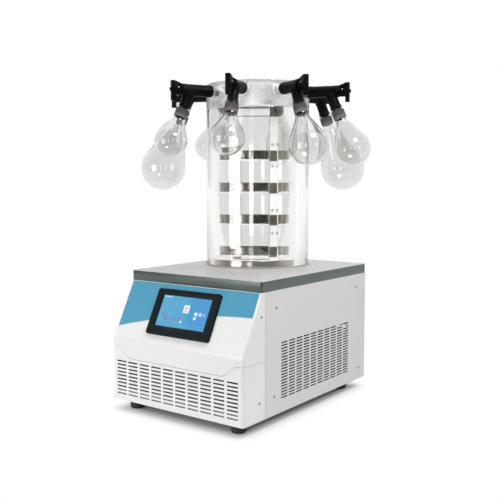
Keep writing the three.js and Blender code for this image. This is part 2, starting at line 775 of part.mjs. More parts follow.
function flask({ centre, radius }) {
  const rim = LEG.shoulder + CLEARANCE;
  const neckEnd = rim + NECK.length;
  const inner = NECK.radius - NECK.wall;
  const outside = bulbArc(NECK.radius, neckEnd, centre, radius, 4);
  const inside = bulbArc(inner, neckEnd, centre, radius - GLASS_WALL, 2);
  return turned(
    [
      ...outside.reverse(),
      [NECK.radius, -neckEnd],
      [NECK.radius, -rim],
      [inner, -rim],
      [inner, -neckEnd],
      ...inside,
    ],
    FLASK_SIDES,
  );
}

for (let i = 0; i < PORTS; i++) {
  const port = new THREE.Group();
  port.position.z = portZ;
  port.rotation.set(valveTurn(i), 0, portTurn(i), "ZYX");
  chamber.add(port);
  place(port, `valve_body_${i + 1}`, valveBody(), rubber);
  place(port, `valve_knob_${i + 1}`, valveKnob(), rubber);
  place(port, `flask_${i + 1}`, downLeg(flask(FLASKS[i])), clearGlass);
}

// ---------------------------------------------------------------- tray rack
const rack = new THREE.Group();
rack.rotation.z = THREE.MathUtils.degToRad(RACK.turn - 90);
trap.add(rack);

function washer(inner, outer, z0, z1, sides) {
  return turned(
    [
      [inner, z0],
      [outer, z0],
      [outer, z1],
      [inner, z1],
    ],
    sides,
  );
}

function trayRack() {
  const foot = TRAP.collarHeight + CLEARANCE;
  const pieces = [washer(RACK_FOOT.inner, TRAP.collarRadius - 2, foot, foot + RACK_FOOT.thickness, 12)];
  for (let i = 0; i < TRAY.count; i++) {
    const top = TRAY.first + i * TRAY.pitch - CLEARANCE;
    pieces.push(washer(SHELF.inner, SHELF.outer, top - SHELF.thickness, top, 12));
  }
  const half = RACK.postWidth / 2;
  const outer = RACK.postRadius + RACK.sheet;
  for (const [x0, x1] of [
    [-outer, -RACK.postRadius],
    [RACK.postRadius, outer],
  ]) {
    pieces.push(block(x0, x1, -half, half, foot + 1, RACK.top));
  }
  const strap = RACK.top - RACK.strap;
  pieces.push(block(-outer + 1, outer - 1, -RACK.sheet / 2, RACK.sheet / 2, strap, RACK.top));
  return joined(...pieces);
}

place(rack, "tray_rack", trayRack(), brightSteel);

const trayForm = turned(
  [
    [0, 0],
    [TRAY.radius, 0],
    [TRAY.radius, TRAY.height],
    [TRAY.radius - TRAY.wall, TRAY.height],
    [TRAY.radius - TRAY.wall, TRAY.wall],
    [0, TRAY.wall],
  ],
  14,
);
for (let i = 0; i < TRAY.count; i++) {
  place(rack, `tray_${i + 1}`, trayForm, brightSteel).position.z = TRAY.first + i * TRAY.pitch;
}

// ---------------------------------------------------------------- refrigeration
const machineFloor = PAN_FLOOR + CLEARANCE;
const compressorX = HALF_WIDTH - COMPRESSOR.sideInset;
const compressorY = TOP_REAR - COMPRESSOR.rearInset;

function compressor() {
  const { radius, height, waist, plate, footHeight } = COMPRESSOR;
  const feet = block(-plate, plate, -plate / 2, plate / 2, machineFloor, machineFloor + footHeight);
  const bottom = machineFloor + footHeight - 1;
  const shell = turned(
    [
      [0, bottom],
      [radius - waist, bottom],
      [radius, bottom + waist],
      [radius, bottom + height - waist * 1.6],
      [radius - waist, bottom + height - waist * 0.5],
      [0, bottom + height],
    ],
    12,
  );
  return joined(feet, shell);
}

place(dryer, "compressor", compressor(), blackPaint).position.set(compressorX, compressorY, 0);

const condenserHalf = HALF_WIDTH - CONDENSER.sideInset;
const condenserFront = FASCIA_FRONT + CONDENSER.frontInset;
const condenserRear = condenserFront + CONDENSER.depth;
function condenser() {
  const { bottom, top, plate } = CONDENSER;
  const half = condenserHalf;
  const core = block(-half, half, condenserFront + 2, condenserRear - 2, bottom + 4, top - 4);
  const ends = [-1, 1].map((side) => {
    const x = side * condenserHalf;
    return block(x - plate / 2, x + plate / 2, condenserFront, condenserRear, machineFloor, top);
  });
  return joined(core, ...ends);
}

place(dryer, "condenser", condenser(), finMetal);

const fanZ = (CONDENSER.bottom + CONDENSER.top) / 2;
const shroudFront = condenserRear + CLEARANCE;
const shroudRear = shroudFront + SHROUD.depth;
const rotorRear = shroudRear - 1;
const rotorFront = rotorRear - FAN.depth;
const motorFront = shroudRear + 3;

function fanShroud() {
  const half = condenserHalf - CONDENSER.plate;
  const low = CONDENSER.bottom - fanZ;
  const box = block(-half - FAN.x, half - FAN.x, shroudFront, shroudRear, low, -low);
  const inner = half - 4;
  const hollow = block(-inner - FAN.x, inner - FAN.x, shroudFront - 1, shroudRear - 3, low + 4, -low - 4);
  const mouth = drum(FAN.radius, shroudFront, shroudRear + 1, 12);
  const motor = drum(FAN_MOTOR.radius, motorFront, motorFront + FAN_MOTOR.depth, 8);
  const spoke = block(
    -FAN.radius - 12,
    FAN.radius + 12,
    shroudRear + 6,
    shroudRear + 10,
    -SHROUD.spoke,
    SHROUD.spoke,
  );
  const legs = [-1, 1].map((side) => {
    const x = side * (FAN.radius + 8);
    return block(x - 4, x + 4, shroudRear - 2, shroudRear + 8, -SHROUD.spoke, SHROUD.spoke);
  });
  return joined(cut(box, hollow, mouth), motor, spoke, ...legs);
}

function fanRotor() {
  const pieces = [drum(FAN.hub, rotorFront, motorFront - 0.6, 8)];
  for (let i = 0; i < FAN.blades; i++) {
    const blade = block(FAN.hub - 3, FAN.tip, -1, 1, -FAN.chord / 2, FAN.chord / 2).rotateX(Math.PI / 5);
    blade.translate(0, (rotorFront + rotorRear) / 2, 0);
    pieces.push(blade.rotateY((i * 2 * Math.PI) / FAN.blades));
  }
  return joined(...pieces);
}

place(dryer, "fan_shroud", fanShroud(), blackPaint).position.set(FAN.x, 0, fanZ);
place(dryer, "fan_rotor", fanRotor(), blackPlastic).position.set(FAN.x, 0, fanZ);

// Hot gas to the condenser: out of the compressor, along the right-hand panel, in at the front.
const gasPort = (COMPRESSOR.radius * Math.cos(Math.PI / 12) + 0.4) * Math.SQRT1_2;
const gasLane = HALF_WIDTH - PIPE_INSET;
const gasInlet = condenserHalf + CONDENSER.plate / 2 + 0.4;
const condenserY = (condenserFront + condenserRear) / 2;
const dischargeRoute = [
  [compressorX + gasPort, compressorY - gasPort, 62],
  [compressorX + gasPort + 10, compressorY - gasPort - 10, 62],
  [gasLane, compressorY - 86, 62],
  [gasLane, compressorY - 196, 64],
  [gasLane, compressorY - 232, 84],
  [gasLane, compressorY - 239, 118],
  [gasLane, compressorY - 268, 156],
  [gasLane, compressorY - 346, 157],
  [gasLane - 1, condenserY + 74, 157],
  [gasLane - 10, condenserY + 14, 157],
  [gasInlet + 19.6, condenserY, 157],
  [gasInlet, condenserY, 157],
];
place(dryer, "discharge_pipe", tube(dischargeRoute, PIPE_RADIUS, 14, 3), copper);

// Cold gas back from the trap's jacket to the top of the compressor.
const jacketTurn = THREE.MathUtils.degToRad(-15);
const jacketPort = (foamInner + FOAM.wall) * Math.cos(Math.PI / 12) + 0.4;
const suctionZ = TOP_HEIGHT - SUCTION_DROP;
const jacketSide = [Math.cos(jacketTurn), Math.sin(jacketTurn)];
const fromJacket = (out) => [TRAP.x + out * jacketSide[0], TRAP.y + out * jacketSide[1], suctionZ];
const compressorTop = machineFloor + COMPRESSOR.footHeight - 1 + COMPRESSOR.height;
const suctionRoute = [
  fromJacket(jacketPort),
  fromJacket(jacketPort + 14),
  [compressorX - 10, (TRAP.y + compressorY) / 2 - 52.5, suctionZ],
  [compressorX, compressorY - 30, suctionZ - 4],
  [compressorX, compressorY, Math.max(suctionZ - 26, compressorTop + 5)],
  [compressorX, compressorY, compressorTop + 0.4],
];
place(dryer, "suction_pipe", tube(suctionRoute, PIPE_RADIUS + LAGGING, 10, 3), foam);

// ---------------------------------------------------------------- rear fittings
const rear = new THREE.Group();
rear.position.y = TOP_REAR;
dryer.add(rear);

// Inlet and switch share one moulding behind a flange.
function powerInlet() {
  const { width, height, proud, depth } = INLET;
  const flange = block(-width / 2, width / 2, CLEARANCE, proud, -height / 2, height / 2);
  const body = block(-inletBody.halfX, inletBody.halfX, -depth, 1, -inletBody.halfZ, inletBody.halfZ);
  const socket = block(
    -SOCKET.width / 2,
    SOCKET.width / 2,
    proud - SOCKET.depth,
    proud + 1,
    -SOCKET.drop - SOCKET.height / 2,
    -SOCKET.drop + SOCKET.height / 2,
  );
  const halfX = ROCKER.width / 2 + CLEARANCE;
  const halfZ = ROCKER.height / 2 + 1.3;
  const wellFloor = proud - ROCKER.depth;
  const well = block(-halfX, halfX, wellFloor, proud + 1, ROCKER.rise - halfZ, ROCKER.rise + halfZ);
  const pins = [-7, 0, 7].map((x, i) => {
    const z = -SOCKET.drop + (i === 1 ? 4 : -3);
    return block(x - 1, x + 1, proud - SOCKET.depth - 1, proud - 2, z - 2.5, z + 2.5);
  });
  return joined(cut(joined(flange, body), socket, well), ...pins);
}

place(rear, "power_inlet", powerInlet(), blackPlastic).position.set(INLET.x, 0, INLET.z);

// The rocker pivots about its middle; one edge stands proud.
const rockerSection = outline([
  [-5, -ROCKER.height / 2 + 1],
  [INLET.proud - 0.5, -ROCKER.height / 2],
  [INLET.proud + 0.4, 0],
  [INLET.proud + 2.5, ROCKER.height / 2],
  [-5, ROCKER.height / 2 - 1],
]);
const rocker = drawnAlongX(rockerSection, -ROCKER.width / 2, ROCKER.width / 2);
place(rear, "power_rocker", rocker, blackPlastic).position.set(INLET.x, 0, INLET.z + ROCKER.rise);

const port = VACUUM_PORT;
const vacuumPort = turned(
  [
    [port.bore, -14],
    [port.flange, -14],
    [port.flange, -SHEET - CLEARANCE],
    [port.radius, -SHEET - CLEARANCE],
    [port.radius, port.length - 5],
    [port.flange, port.length - 3],
    [port.flange, port.length],
    [port.bore, port.length],
  ],
  8,
);
place(rear, "vacuum_port", alongY(vacuumPort), brushedSteel).position.set(port.x, 0, port.z);

function drainValve() {
  const { radius, length, body } = DRAIN;
  const pipe = drum(radius, -16, length, 6);
  const nut = drum(radius + 4, -8, -SHEET - CLEARANCE, 6);
  const ball = block(-body / 2 - 3, body / 2 + 3, 6, 6 + body + 4, -body / 2 - 3, body / 2 + 3);
  const stem = block(-2.5, 2.5, 6 + body / 2 - 0.5, 6 + body / 2 + 4.5, body / 2, body / 2 + 12);
  return joined(pipe, nut, ball, stem);
}

const leverTurn = 6 + DRAIN.body / 2 + 2;
function drainLever() {
  const plate = block(-7, DRAIN.lever, -5, 5, DRAIN.body / 2 + 6, DRAIN.body / 2 + 9);
  const hub = block(-6, 6, -6, 6, DRAIN.body / 2 + 4, DRAIN.body / 2 + 11);
  const hole = block(-3.8, 3.8, -3.8, 3.8, 0, DRAIN.body / 2 + 20);
  return cut(joined(plate, hub), hole);
}

place(rear, "drain_valve", drainValve(), brass).position.set(DRAIN.x, 0, DRAIN.z);
place(rear, "drain_lever", drainLever(), zincSteel).position.set(DRAIN.x, leverTurn, DRAIN.z);

// The frame's origin is on the bench, under the centre of the whole machine's box.
const extent = new THREE.Box3().setFromObject(dryer, true);
const middle = extent.getCenter(new THREE.Vector3());
dryer.position.set(-middle.x, -middle.y, -extent.min.z);
const freezeDryer = new THREE.Group();
freezeDryer.add(dryer);

export default freezeDryer;
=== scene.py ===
import json
import math

import bmesh
import bpy
import numpy as np
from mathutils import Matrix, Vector


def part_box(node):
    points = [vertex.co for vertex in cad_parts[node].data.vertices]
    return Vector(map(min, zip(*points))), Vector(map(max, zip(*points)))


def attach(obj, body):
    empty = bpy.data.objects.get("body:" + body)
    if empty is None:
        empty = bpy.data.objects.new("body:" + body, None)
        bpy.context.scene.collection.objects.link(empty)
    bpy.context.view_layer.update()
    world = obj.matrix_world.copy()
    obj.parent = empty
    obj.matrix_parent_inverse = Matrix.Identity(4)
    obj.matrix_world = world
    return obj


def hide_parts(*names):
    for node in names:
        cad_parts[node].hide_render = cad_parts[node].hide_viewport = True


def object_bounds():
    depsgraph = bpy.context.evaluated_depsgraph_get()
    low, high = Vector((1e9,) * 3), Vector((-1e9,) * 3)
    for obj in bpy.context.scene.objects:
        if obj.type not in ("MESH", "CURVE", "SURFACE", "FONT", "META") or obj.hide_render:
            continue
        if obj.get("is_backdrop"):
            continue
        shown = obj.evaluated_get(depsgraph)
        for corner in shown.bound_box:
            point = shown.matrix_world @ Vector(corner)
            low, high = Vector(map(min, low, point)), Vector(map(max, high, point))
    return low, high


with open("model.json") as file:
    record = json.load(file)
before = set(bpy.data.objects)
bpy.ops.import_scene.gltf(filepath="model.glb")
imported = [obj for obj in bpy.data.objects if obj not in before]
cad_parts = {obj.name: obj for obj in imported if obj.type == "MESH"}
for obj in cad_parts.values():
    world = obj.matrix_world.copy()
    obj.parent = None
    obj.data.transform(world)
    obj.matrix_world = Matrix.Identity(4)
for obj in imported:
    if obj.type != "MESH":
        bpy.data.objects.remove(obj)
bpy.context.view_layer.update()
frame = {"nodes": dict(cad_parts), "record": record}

# Bench-top manifold freeze dryer. Metres, +Z up, the touch screen towards -Y.
MM = 0.001
X, Y, Z = np.eye(3)


# ------------------------------------------------------------------ places, from the frame
def corners_of(name):
    """Lowest and highest corner of a CAD node's box at rest, as arrays."""
    low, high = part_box(name)
    return np.array(low), np.array(high)


def axis_through(low, high):
    """Foot of the upright axis through a box's middle: (low + high) / 2 with its height set to 0."""
    return np.array([*((low + high) / 2)[:2], 0.0])


nodes = frame["nodes"]
JOINTS = {j["name"]: j for j in frame["record"]["behaviour"]["joints"]}
PORTS, SIDES = range(1, 9), (-1, 1)
plate_low, plate_high = corners_of("top_plate")
PLATE_MIDDLE = (plate_low + plate_high) / 2
PLATE_TOP = plate_high[2]
tube_low, tube_high = corners_of("chamber_cylinder")
CHAMBER_AXIS = axis_through(tube_low, tube_high)
TRAP_AXIS = axis_through(*corners_of("cold_trap_pot"))
# Radii of the chamber's wall, in millimetres.
CHAMBER_BORE, CHAMBER_RADIUS = 143.5, 151.5
# How many facets go round a turned piece.
FACETS = {
    "chamber": 160, "seal": 128, "tray": 96, "flask": 64, "valve": 48, "fitting": 40, "hole": 24, "screw": 20
}


# ------------------------------------------------------------------ directions and lattices
def unit(v):
    """The vector divided by its length."""
    return np.asarray(v, float) / np.linalg.norm(v)


def axes_from(origin, along):
    """Origin and three unit axes: the third points along, the first is Z x third, or X where the third
    is upright, and the second is third x first."""
    upright = 0.999
    third = unit(along)
    first = unit(np.cross(Z, third)) if abs(np.dot(Z, third)) < upright else X
    return np.asarray(origin, float), first, np.cross(third, first), third


def placed(points, axes):
    """Local points p carried to origin + p1 * first + p2 * second + p3 * third."""
    origin, first, second, third = axes
    return origin + points @ np.stack([first, second, third])


def lattice(rows, columns, wrap_rows=False, wrap_columns=False):
    """Quads over rows x columns points: corner (r, c) joins (r, c+1), (r+1, c+1) and (r+1, c)."""
    r = np.arange(rows if wrap_rows else rows - 1)[:, None]
    c = np.arange(columns if wrap_columns else columns - 1)[None, :]
    r2, c2 = (r + 1) % rows, (c + 1) % columns
    quad = [r * columns + c, r * columns + c2, r2 * columns + c2, r2 * columns + c]
    return np.stack(quad, -1).reshape(-1, 4).tolist()


# ------------------------------------------------------------------ outlines and routes
def eased(corners, radius, steps=4, closed=True):
    """Every corner P swapped for the parabola (1-t)^2 A + 2t(1-t) P + t^2 C, where A and C lie on its
    two sides at the easing radius from it, or just under half way where the side is short."""
    longest_share, no_length = 0.49, 1e-9
    p = np.asarray(corners, float)
    reach = np.broadcast_to(radius, len(p)).astype(float).copy()
    if not closed:
        reach[[0, -1]] = 0

    def point_on(side):
        """The point on each corner's side at its reach, P + side * share."""
        length = np.linalg.norm(side, axis=1)
        share = np.minimum(reach, length * longest_share) / np.maximum(length, no_length)
        return p + side * share[:, None]

    a, c = point_on(np.roll(p, 1, 0) - p), point_on(np.roll(p, -1, 0) - p)
    t = np.linspace(0, 1, steps)[None, :, None]
    bend = (1 - t) ** 2 * a[:, None] + 2 * t * (1 - t) * p[:, None] + t**2 * c[:, None]
    return bend.reshape(-1, p.shape[1])


def ring_profile(corners, radius):
    """A closed section (radius, height) in millimetres, its corners eased into parabolas."""
    return eased(np.asarray(corners, float) * MM, np.asarray(radius) * MM)


def open_profile(corners, radius, steps=4):
    """A section from the axis back to the axis in millimetres, its corners eased into parabolas."""
    return eased(np.array(corners, float) * MM, np.asarray(radius) * MM, steps, closed=False)


def round_rectangle(width, height, radius, per_corner):
    """Rounded rectangle in the plane: each corner is a quarter circle, centre + radius * (cos a, sin a),
    about a centre set in by the radius."""
    a = np.linspace(0, math.pi / 2, per_corner)
    start = np.arange(4)[:, None] * math.pi / 2
    sx, sy = np.array([1, -1, -1, 1]), np.array([1, 1, -1, -1])
    x = (sx * (width / 2 - radius))[:, None] + radius * np.cos(start + a)
    y = (sy * (height / 2 - radius))[:, None] + radius * np.sin(start + a)
    return np.stack([x.ravel(), y.ravel()], -1)


def smooth_route(points, count):
    """A route through the points: a chord-length parameter, each coordinate a cubic Hermite curve with
    slopes from the neighbours, v(t) = h00 p0 + h10 m0 + h01 p1 + h11 m1."""
    p = np.asarray(points, float)
    s = np.concatenate([[0], np.cumsum(np.linalg.norm(np.diff(p, axis=0), axis=1))])
    m = np.gradient(p, s, axis=0)
    u = np.linspace(0, s[-1], count)
    k = np.clip(np.searchsorted(s, u, side="right") - 1, 0, len(p) - 2)
    d = (s[k + 1] - s[k])[:, None]
    t = ((u - s[k]) / d[:, 0])[:, None]
    h00, h10 = 2 * t**3 - 3 * t**2 + 1, t**3 - 2 * t**2 + t
    h01, h11 = -2 * t**3 + 3 * t**2, t**3 - t**2
    return h00 * p[k] + h10 * m[k] * d + h01 * p[k + 1] + h11 * m[k + 1] * d


# ------------------------------------------------------------------ shells: points and faces
def turned(profile, sides, axes, closed=True):
    """Profile (radius, height) carried round the third axis: (r cos a, r sin a, h) for a in 0 to 2 pi.
    A closed profile makes a ring; an open one starts and ends on the axis."""
    profile = np.asarray(profile, float)
    a = np.linspace(0, 2 * math.pi, sides, endpoint=False)
    r, h = profile[:, 0, None], profile[:, 1, None]
    points = np.stack([r * np.cos(a), r * np.sin(a), h + 0 * a], -1).reshape(-1, 3)
    return placed(points, axes), lattice(len(profile), sides, wrap_rows=closed, wrap_columns=True)


def lofted(loops, wrap_rows=True):
    """Loops of equal count joined one to the next; with wrap_rows the last joins the first."""
    loops = np.asarray(loops, float)
    rows, columns = loops.shape[:2]
    return loops.reshape(-1, 3), lattice(rows, columns, wrap_rows=wrap_rows, wrap_columns=True)


def capped(loops):
    """Loops joined in a row, with one many-sided face closing each end."""
    points, faces = lofted(loops, wrap_rows=False)
    n = len(loops[0])
    return points, [*faces, list(range(n))[::-1], list(range(len(points) - n, len(points)))]


def piped(path, radius):
    """A round pipe: at each point of the path, radius * (cos a N + sin a B), where N is square to the
    path T and to a direction that no stretch follows, and B = T x N."""
    sides, unused_direction = 16, unit([0.31, 0.17, 0.94])
    path = np.asarray(path, float)
    tangent = np.gradient(path, axis=0)
    tangent /= np.linalg.norm(tangent, axis=1)[:, None]
    n = np.cross(tangent, unused_direction)
    n /= np.linalg.norm(n, axis=1)[:, None]
    b = np.cross(tangent, n)
    a = np.linspace(0, 2 * math.pi, sides, endpoint=False)[None, :, None]
    return capped(path[:, None] + radius * (np.cos(a) * n[:, None] + np.sin(a) * b[:, None]))


def slab(low, high):
    """The eight corners and six faces of a box between two corners."""
    grid = np.array(np.meshgrid(*zip(low, high), indexing="ij")).reshape(3, -1).T
    faces = [[0, 1, 3, 2], [4, 6, 7, 5], [0, 4, 5, 1], [2, 3, 7, 6], [0, 2, 6, 4], [1, 5, 7, 3]]
    return grid, faces


def joined(*shells):
    """Several closed shells as one mesh: each shell's faces count on from the vertices before it."""
    starts = np.cumsum([0, *(len(points) for points, _ in shells)])
    faces = [[i + int(start) for i in face] for (_, some), start in zip(shells, starts) for face in some]
    return np.concatenate([points for points, _ in shells]), faces


# ------------------------------------------------------------------ pieces
def linked(name, data):
    """A new object at the origin that holds the data."""
    obj = bpy.data.objects.new(name, data)
    bpy.context.scene.collection.objects.link(obj)
    return obj


def smoothed(mesh, merge, crease):
    """Vertices closer than the merge distance become one, faces turn outwards, and the shading is
    smooth except over edges that bend by more than the crease angle, in degrees."""
    work = bmesh.new()
    work.from_mesh(mesh)
    bmesh.ops.remove_doubles(work, verts=work.verts, dist=merge)
    bmesh.ops.recalc_face_normals(work, faces=work.faces)
    work.to_mesh(mesh)
    work.free()
    mesh.shade_smooth()
    mesh.set_sharp_from_angle(angle=math.radians(crease))


def per_face(mesh, kind):
    """One row for each face of the mesh: its normal or its center."""
    values = np.empty(len(mesh.polygons) * 3)
    mesh.polygons.foreach_get(kind, values)
    return values.reshape(-1, 3)


def second_finish(mesh, material, faces):
    """The marked faces take a finish of their own."""
    mesh.materials.append(material)
    mesh.polygons.foreach_set("material_index", faces.astype(np.int32))


def piece(name, shell, material, body, replaces=None, crease=38):
    """A finished piece made of a shell's points and faces, riding on a body. It may stand for a node."""
    points, faces = shell
    mesh = bpy.data.meshes.new(name)
    mesh.from_pydata(np.asarray(points).tolist(), [], faces)
    smoothed(mesh, 0.001 * MM, crease)
    mesh.materials.append(material)
    obj = linked(name, mesh)
    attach(obj, body)
    if replaces:
        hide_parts(replaces)
    return obj


def bevelled(obj, width):
    """Rounds every edge that bends by more than the sharp angle, in two steps over the width."""
    sharp = math.radians(40)
    bevel = obj.modifiers.new("rounded edges", "BEVEL")
    bevel.width, bevel.segments = width, 2
    bevel.limit_method, bevel.angle_limit = "ANGLE", sharp
    bevel.harden_normals = True


def shaded_slot_walls(mesh, facing, inward, name):
    """True for the walls of a panel's slots: |normal . inward| < 1/2, and the face's centre at least
    a margin inside the node's box along the panel. Through its thickness any place will do. These walls
    take the dark felt as painted shade, so that the slots read darker."""
    margin, through = 12 * MM, 1.0
    low, high = corners_of(name)
    centres = per_face(mesh, "center")
    along = 1 - np.abs(inward)
    from_edge = np.minimum(centres - low, high - centres)
    return (np.abs(facing) < 0.5) & np.all(from_edge > margin * along - through * (1 - along), axis=1)


def refined(name, material, inward=None, inside=None, shade_slots=False):
    """The CAD node's own surface with its doubles merged and normals weighted by face area, so that its
    folds read smooth and its flats stay flat. Faces turned inwards, normal . inward > 1/2, can take a
    finish of their own, a dark felt lining; with shade_slots the walls of its slots take it too, as painted
    shade."""
    mesh = nodes[name].data.copy()
    smoothed(mesh, merge=0.01 * MM, crease=36)
    mesh.materials.clear()
    mesh.materials.append(material)
    if inside:
        facing = per_face(mesh, "normal") @ inward
        felt_and_shade_faces = facing > 0.5
        # Painted shade: the slot walls take the dark felt so that the slots read darker.
        if shade_slots:
            felt_and_shade_faces |= shaded_slot_walls(mesh, facing, inward, name)
        second_finish(mesh, inside, felt_and_shade_faces)
    obj = linked(name + "_finished", mesh)
    obj.modifiers.new("flat panels", "WEIGHTED_NORMAL").keep_sharp = True
    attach(obj, "machine")
    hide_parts(name)


def repaint(name, material):
    """A CAD node that keeps its shape gets its finish."""
    for material_slot in nodes[name].material_slots:
        material_slot.link = "OBJECT"
        material_slot.material = material


def flat_uv(obj, centre, across, up, size):
    """A UV drawn flat on the mesh: ((p - centre) . across, (p - centre) . up) / size + 0.5."""
    mesh = obj.data
    points = np.empty(len(mesh.vertices) * 3)
    mesh.vertices.foreach_get("co", points)
    local = (points.reshape(-1, 3) - centre) @ np.stack([across, up], -1) / (np.array(size) * MM)
    corner = np.empty(len(mesh.loops), dtype=np.int32)
    mesh.loops.foreach_get("vertex_index", corner)
    mesh.uv_layers.new(name="UVMap").data.foreach_set("uv", (local + 0.5)[corner].ravel())


# ------------------------------------------------------------------ node helpers
def feed(tree, target, inputs):
    """Each input named or numbered takes a link where it is given a socket, or else a plain value."""
    for key, value in inputs.items():
        if isinstance(value, bpy.types.NodeSocket):
            tree.links.new(value, target.inputs[key])
        else:
            target.inputs[key].default_value = value


def node(tree, kind, inputs, **settings):
    """A new node of the kind, with its settings and then its inputs."""
    made = tree.nodes.new(kind)
    for key, value in settings.items():
        setattr(made, key, value)
    feed(tree, made, inputs)
    return made


def math_node(tree, operation, a, b=0.0, clamp=False):
    """a and b put through one operation, kept between 0 and 1 where it clamps."""
    return node(tree, "ShaderNodeMath", {0: a, 1: b}, operation=operation, use_clamp=clamp).outputs[0]


def added(tree, value, mask, share):
    """value + share * mask, kept between 0 and 1."""
    return math_node(tree, "ADD", value, math_node(tree, "MULTIPLY", mask, share), clamp=True)


def vector_math(tree, operation, a, b=(0, 0, 0)):
    """Vectors a and b put through one operation: a vector, or a number for DOT_PRODUCT and LENGTH."""
    made = node(tree, "ShaderNodeVectorMath", {0: a, 1: b}, operation=operation)
    return made.outputs["Value" if operation in ("DOT_PRODUCT", "LENGTH") else "Vector"]


def fitted(tree, value, low, high, to_low=0.0, to_high=1.0):
    """The stretch low to high carried in a straight line to to_low to to_high, and held beyond it."""
    return node(tree, "ShaderNodeMapRange", {0: value, 1: low, 2: high, 3: to_low, 4: to_high}).outputs[0]


def mixed(tree, factor, a, b, blend="MIX"):
    """Colour (1 - factor) * a + factor * b, or a * b where the blend multiplies at a factor of 1."""
    made = node(tree, "ShaderNodeMix", {0: factor, 6: a, 7: b}, data_type="RGBA", blend_type=blend)
    return made.outputs[2]


def noise(tree, vector, scale, detail, roughness=0.5, distortion=0.0):
    """Cloudy noise between 0 and 1: octaves 1, 2, 4 ... times the scale, each weaker by the roughness."""
    inputs = {"Vector": vector, "Scale": scale, "Detail": detail}
    inputs.update({"Roughness": roughness, "Distortion": distortion})
    return node(tree, "ShaderNodeTexNoise", inputs).outputs[0]


def relief(tree, height, strength, depth):
    """A normal tilted by the slope of a height between 0 and 1 that stands for the depth, in metres."""
    bump = node(tree, "ShaderNodeBump", {"Strength": strength, "Distance": depth, "Height": height})
    return bump.outputs[0]


def shader_mix(tree, factor, first, second):
    """The material's surface is first * (1 - factor) + second * factor."""
    mix = node(tree, "ShaderNodeMixShader", {0: factor, 1: first, 2: second})
    tree.links.new(mix.outputs[0], tree.nodes["Material Output"].inputs["Surface"])


def toned(colour, factor=1.0):
    """Each channel times the factor, at most 1, and opaque."""
    return (*[min(1, channel * factor) for channel in colour], 1)


# ------------------------------------------------------------------ effects that finishes share
def new_group(name, inputs, outputs):
    """An effect's node group: float inputs where the default is a float, vector inputs otherwise, and
    float outputs. Gives the group, its input sockets and the node that takes its results."""
    group = bpy.data.node_groups.new(name, "ShaderNodeTree")
    for label, value in inputs.items():
        kind = "NodeSocketFloat" if isinstance(value, float) else "NodeSocketVector"
        socket = group.interface.new_socket(label, in_out="INPUT", socket_type=kind)
        if value is not None:
            socket.default_value = value
    for label in outputs:
        group.interface.new_socket(label, in_out="OUTPUT", socket_type="NodeSocketFloat")
    enter, leave = group.nodes.new("NodeGroupInput"), group.nodes.new("NodeGroupOutput")
    return group, enter.outputs, leave


def build_sprayed():
    """Sprayed or moulded skin: height = orange peel + tooth * a noise 3.7 times as fine, with that fine
    noise and slow clouds of tone as masks."""
    inputs = {"Vector": None, "Peel Scale": 420.0, "Tooth": 0.4}
    group, enter, leave = new_group("sprayed_skin", inputs, ("Height", "Clouds", "Fine"))
    peel = noise(group, enter["Vector"], enter["Peel Scale"], 2.0)
    fine_scale = math_node(group, "MULTIPLY", enter["Peel Scale"], 3.7)
    fine = noise(group, enter["Vector"], fine_scale, 4.0, 0.7)
    clouds = noise(group, enter["Vector"], 7.0, 3.0)
    height = math_node(group, "ADD", peel, math_node(group, "MULTIPLY", fine, enter["Tooth"]))
    feed(group, leave, {"Height": height, "Clouds": clouds, "Fine": fine})
    return group


def build_brushed():
    """Brushed metal: lines = noise of the place times the stretch, which draws it out along the axis
    with the small factor, and soft cloudy patches."""
    inputs = {"Vector": None, "Scale": 60.0, "Stretch": (1, 1, 1)}
    group, enter, leave = new_group("brushed_lines", inputs, ("Lines", "Patches"))
    drawn = vector_math(group, "MULTIPLY", enter["Vector"], enter["Stretch"])
    lines = noise(group, drawn, enter["Scale"], 6.0, 0.75)
    feed(group, leave, {"Lines": lines, "Patches": noise(group, enter["Vector"], 9.0, 2.0)})
    return group


def build_dust():
    """Dust on what faces up, in drifts: amount * (normal's Z from 0.5 to 0.95) * (noise from 0.42 to
    0.72), each stretch carried to 0 to 1."""
    group, enter, leave = new_group("settled_dust", {"Vector": None, "Amount": 0.3}, ("Mask",))
    normal = node(group, "ShaderNodeNewGeometry", {}).outputs["Normal"]
    upwards = node(group, "ShaderNodeSeparateXYZ", {0: normal}).outputs["Z"]
    facing = fitted(group, upwards, 0.5, 0.95)
    drifts = fitted(group, noise(group, enter["Vector"], 26.0, 5.0, 0.65), 0.42, 0.72)
    lying = math_node(group, "MULTIPLY", facing, drifts)
    feed(group, leave, {"Mask": math_node(group, "MULTIPLY", lying, enter["Amount"], clamp=True)})
    return group


def build_marks():
    """Handling marks as two masks. Scratches: thin edges between cells, 1 at distance 0 and 0 from
    0.006, of a wandering place, kept where a slow noise is high. Touches: a curled noise's high patches."""
    inputs, outputs = {"Vector": None, "Scale": 30.0}, ("Scratches", "Touches")
    group, enter, leave = new_group("handling_marks", inputs, outputs)
    place = enter["Vector"]
    wander = node(group, "ShaderNodeTexNoise", {"Vector": place, "Scale": 4.0, "Detail": 2.0})
    moved = vector_math(group, "ADD", place, wander.outputs["Color"])
    cells = {"Vector": moved, "Scale": enter["Scale"]}
    cells = node(group, "ShaderNodeTexVoronoi", cells, feature="DISTANCE_TO_EDGE")
    lines = fitted(group, cells.outputs["Distance"], 0.0, 0.006, 1.0, 0.0)
    sparse = fitted(group, noise(group, place, 11.0, 1.0), 0.56, 0.66)
    touches = fitted(group, noise(group, place, 17.0, 5.0, distortion=1.2), 0.5, 0.68)
    feed(group, leave, {"Scratches": math_node(group, "MULTIPLY", lines, sparse), "Touches": touches})
    return group


SPRAYED, BRUSHED, DUST, MARKS = build_sprayed(), build_brushed(), build_dust(), build_marks()
# The stretch in which nearly all of a noise's values lie.
NOISE_SPAN = (0.3, 0.7)


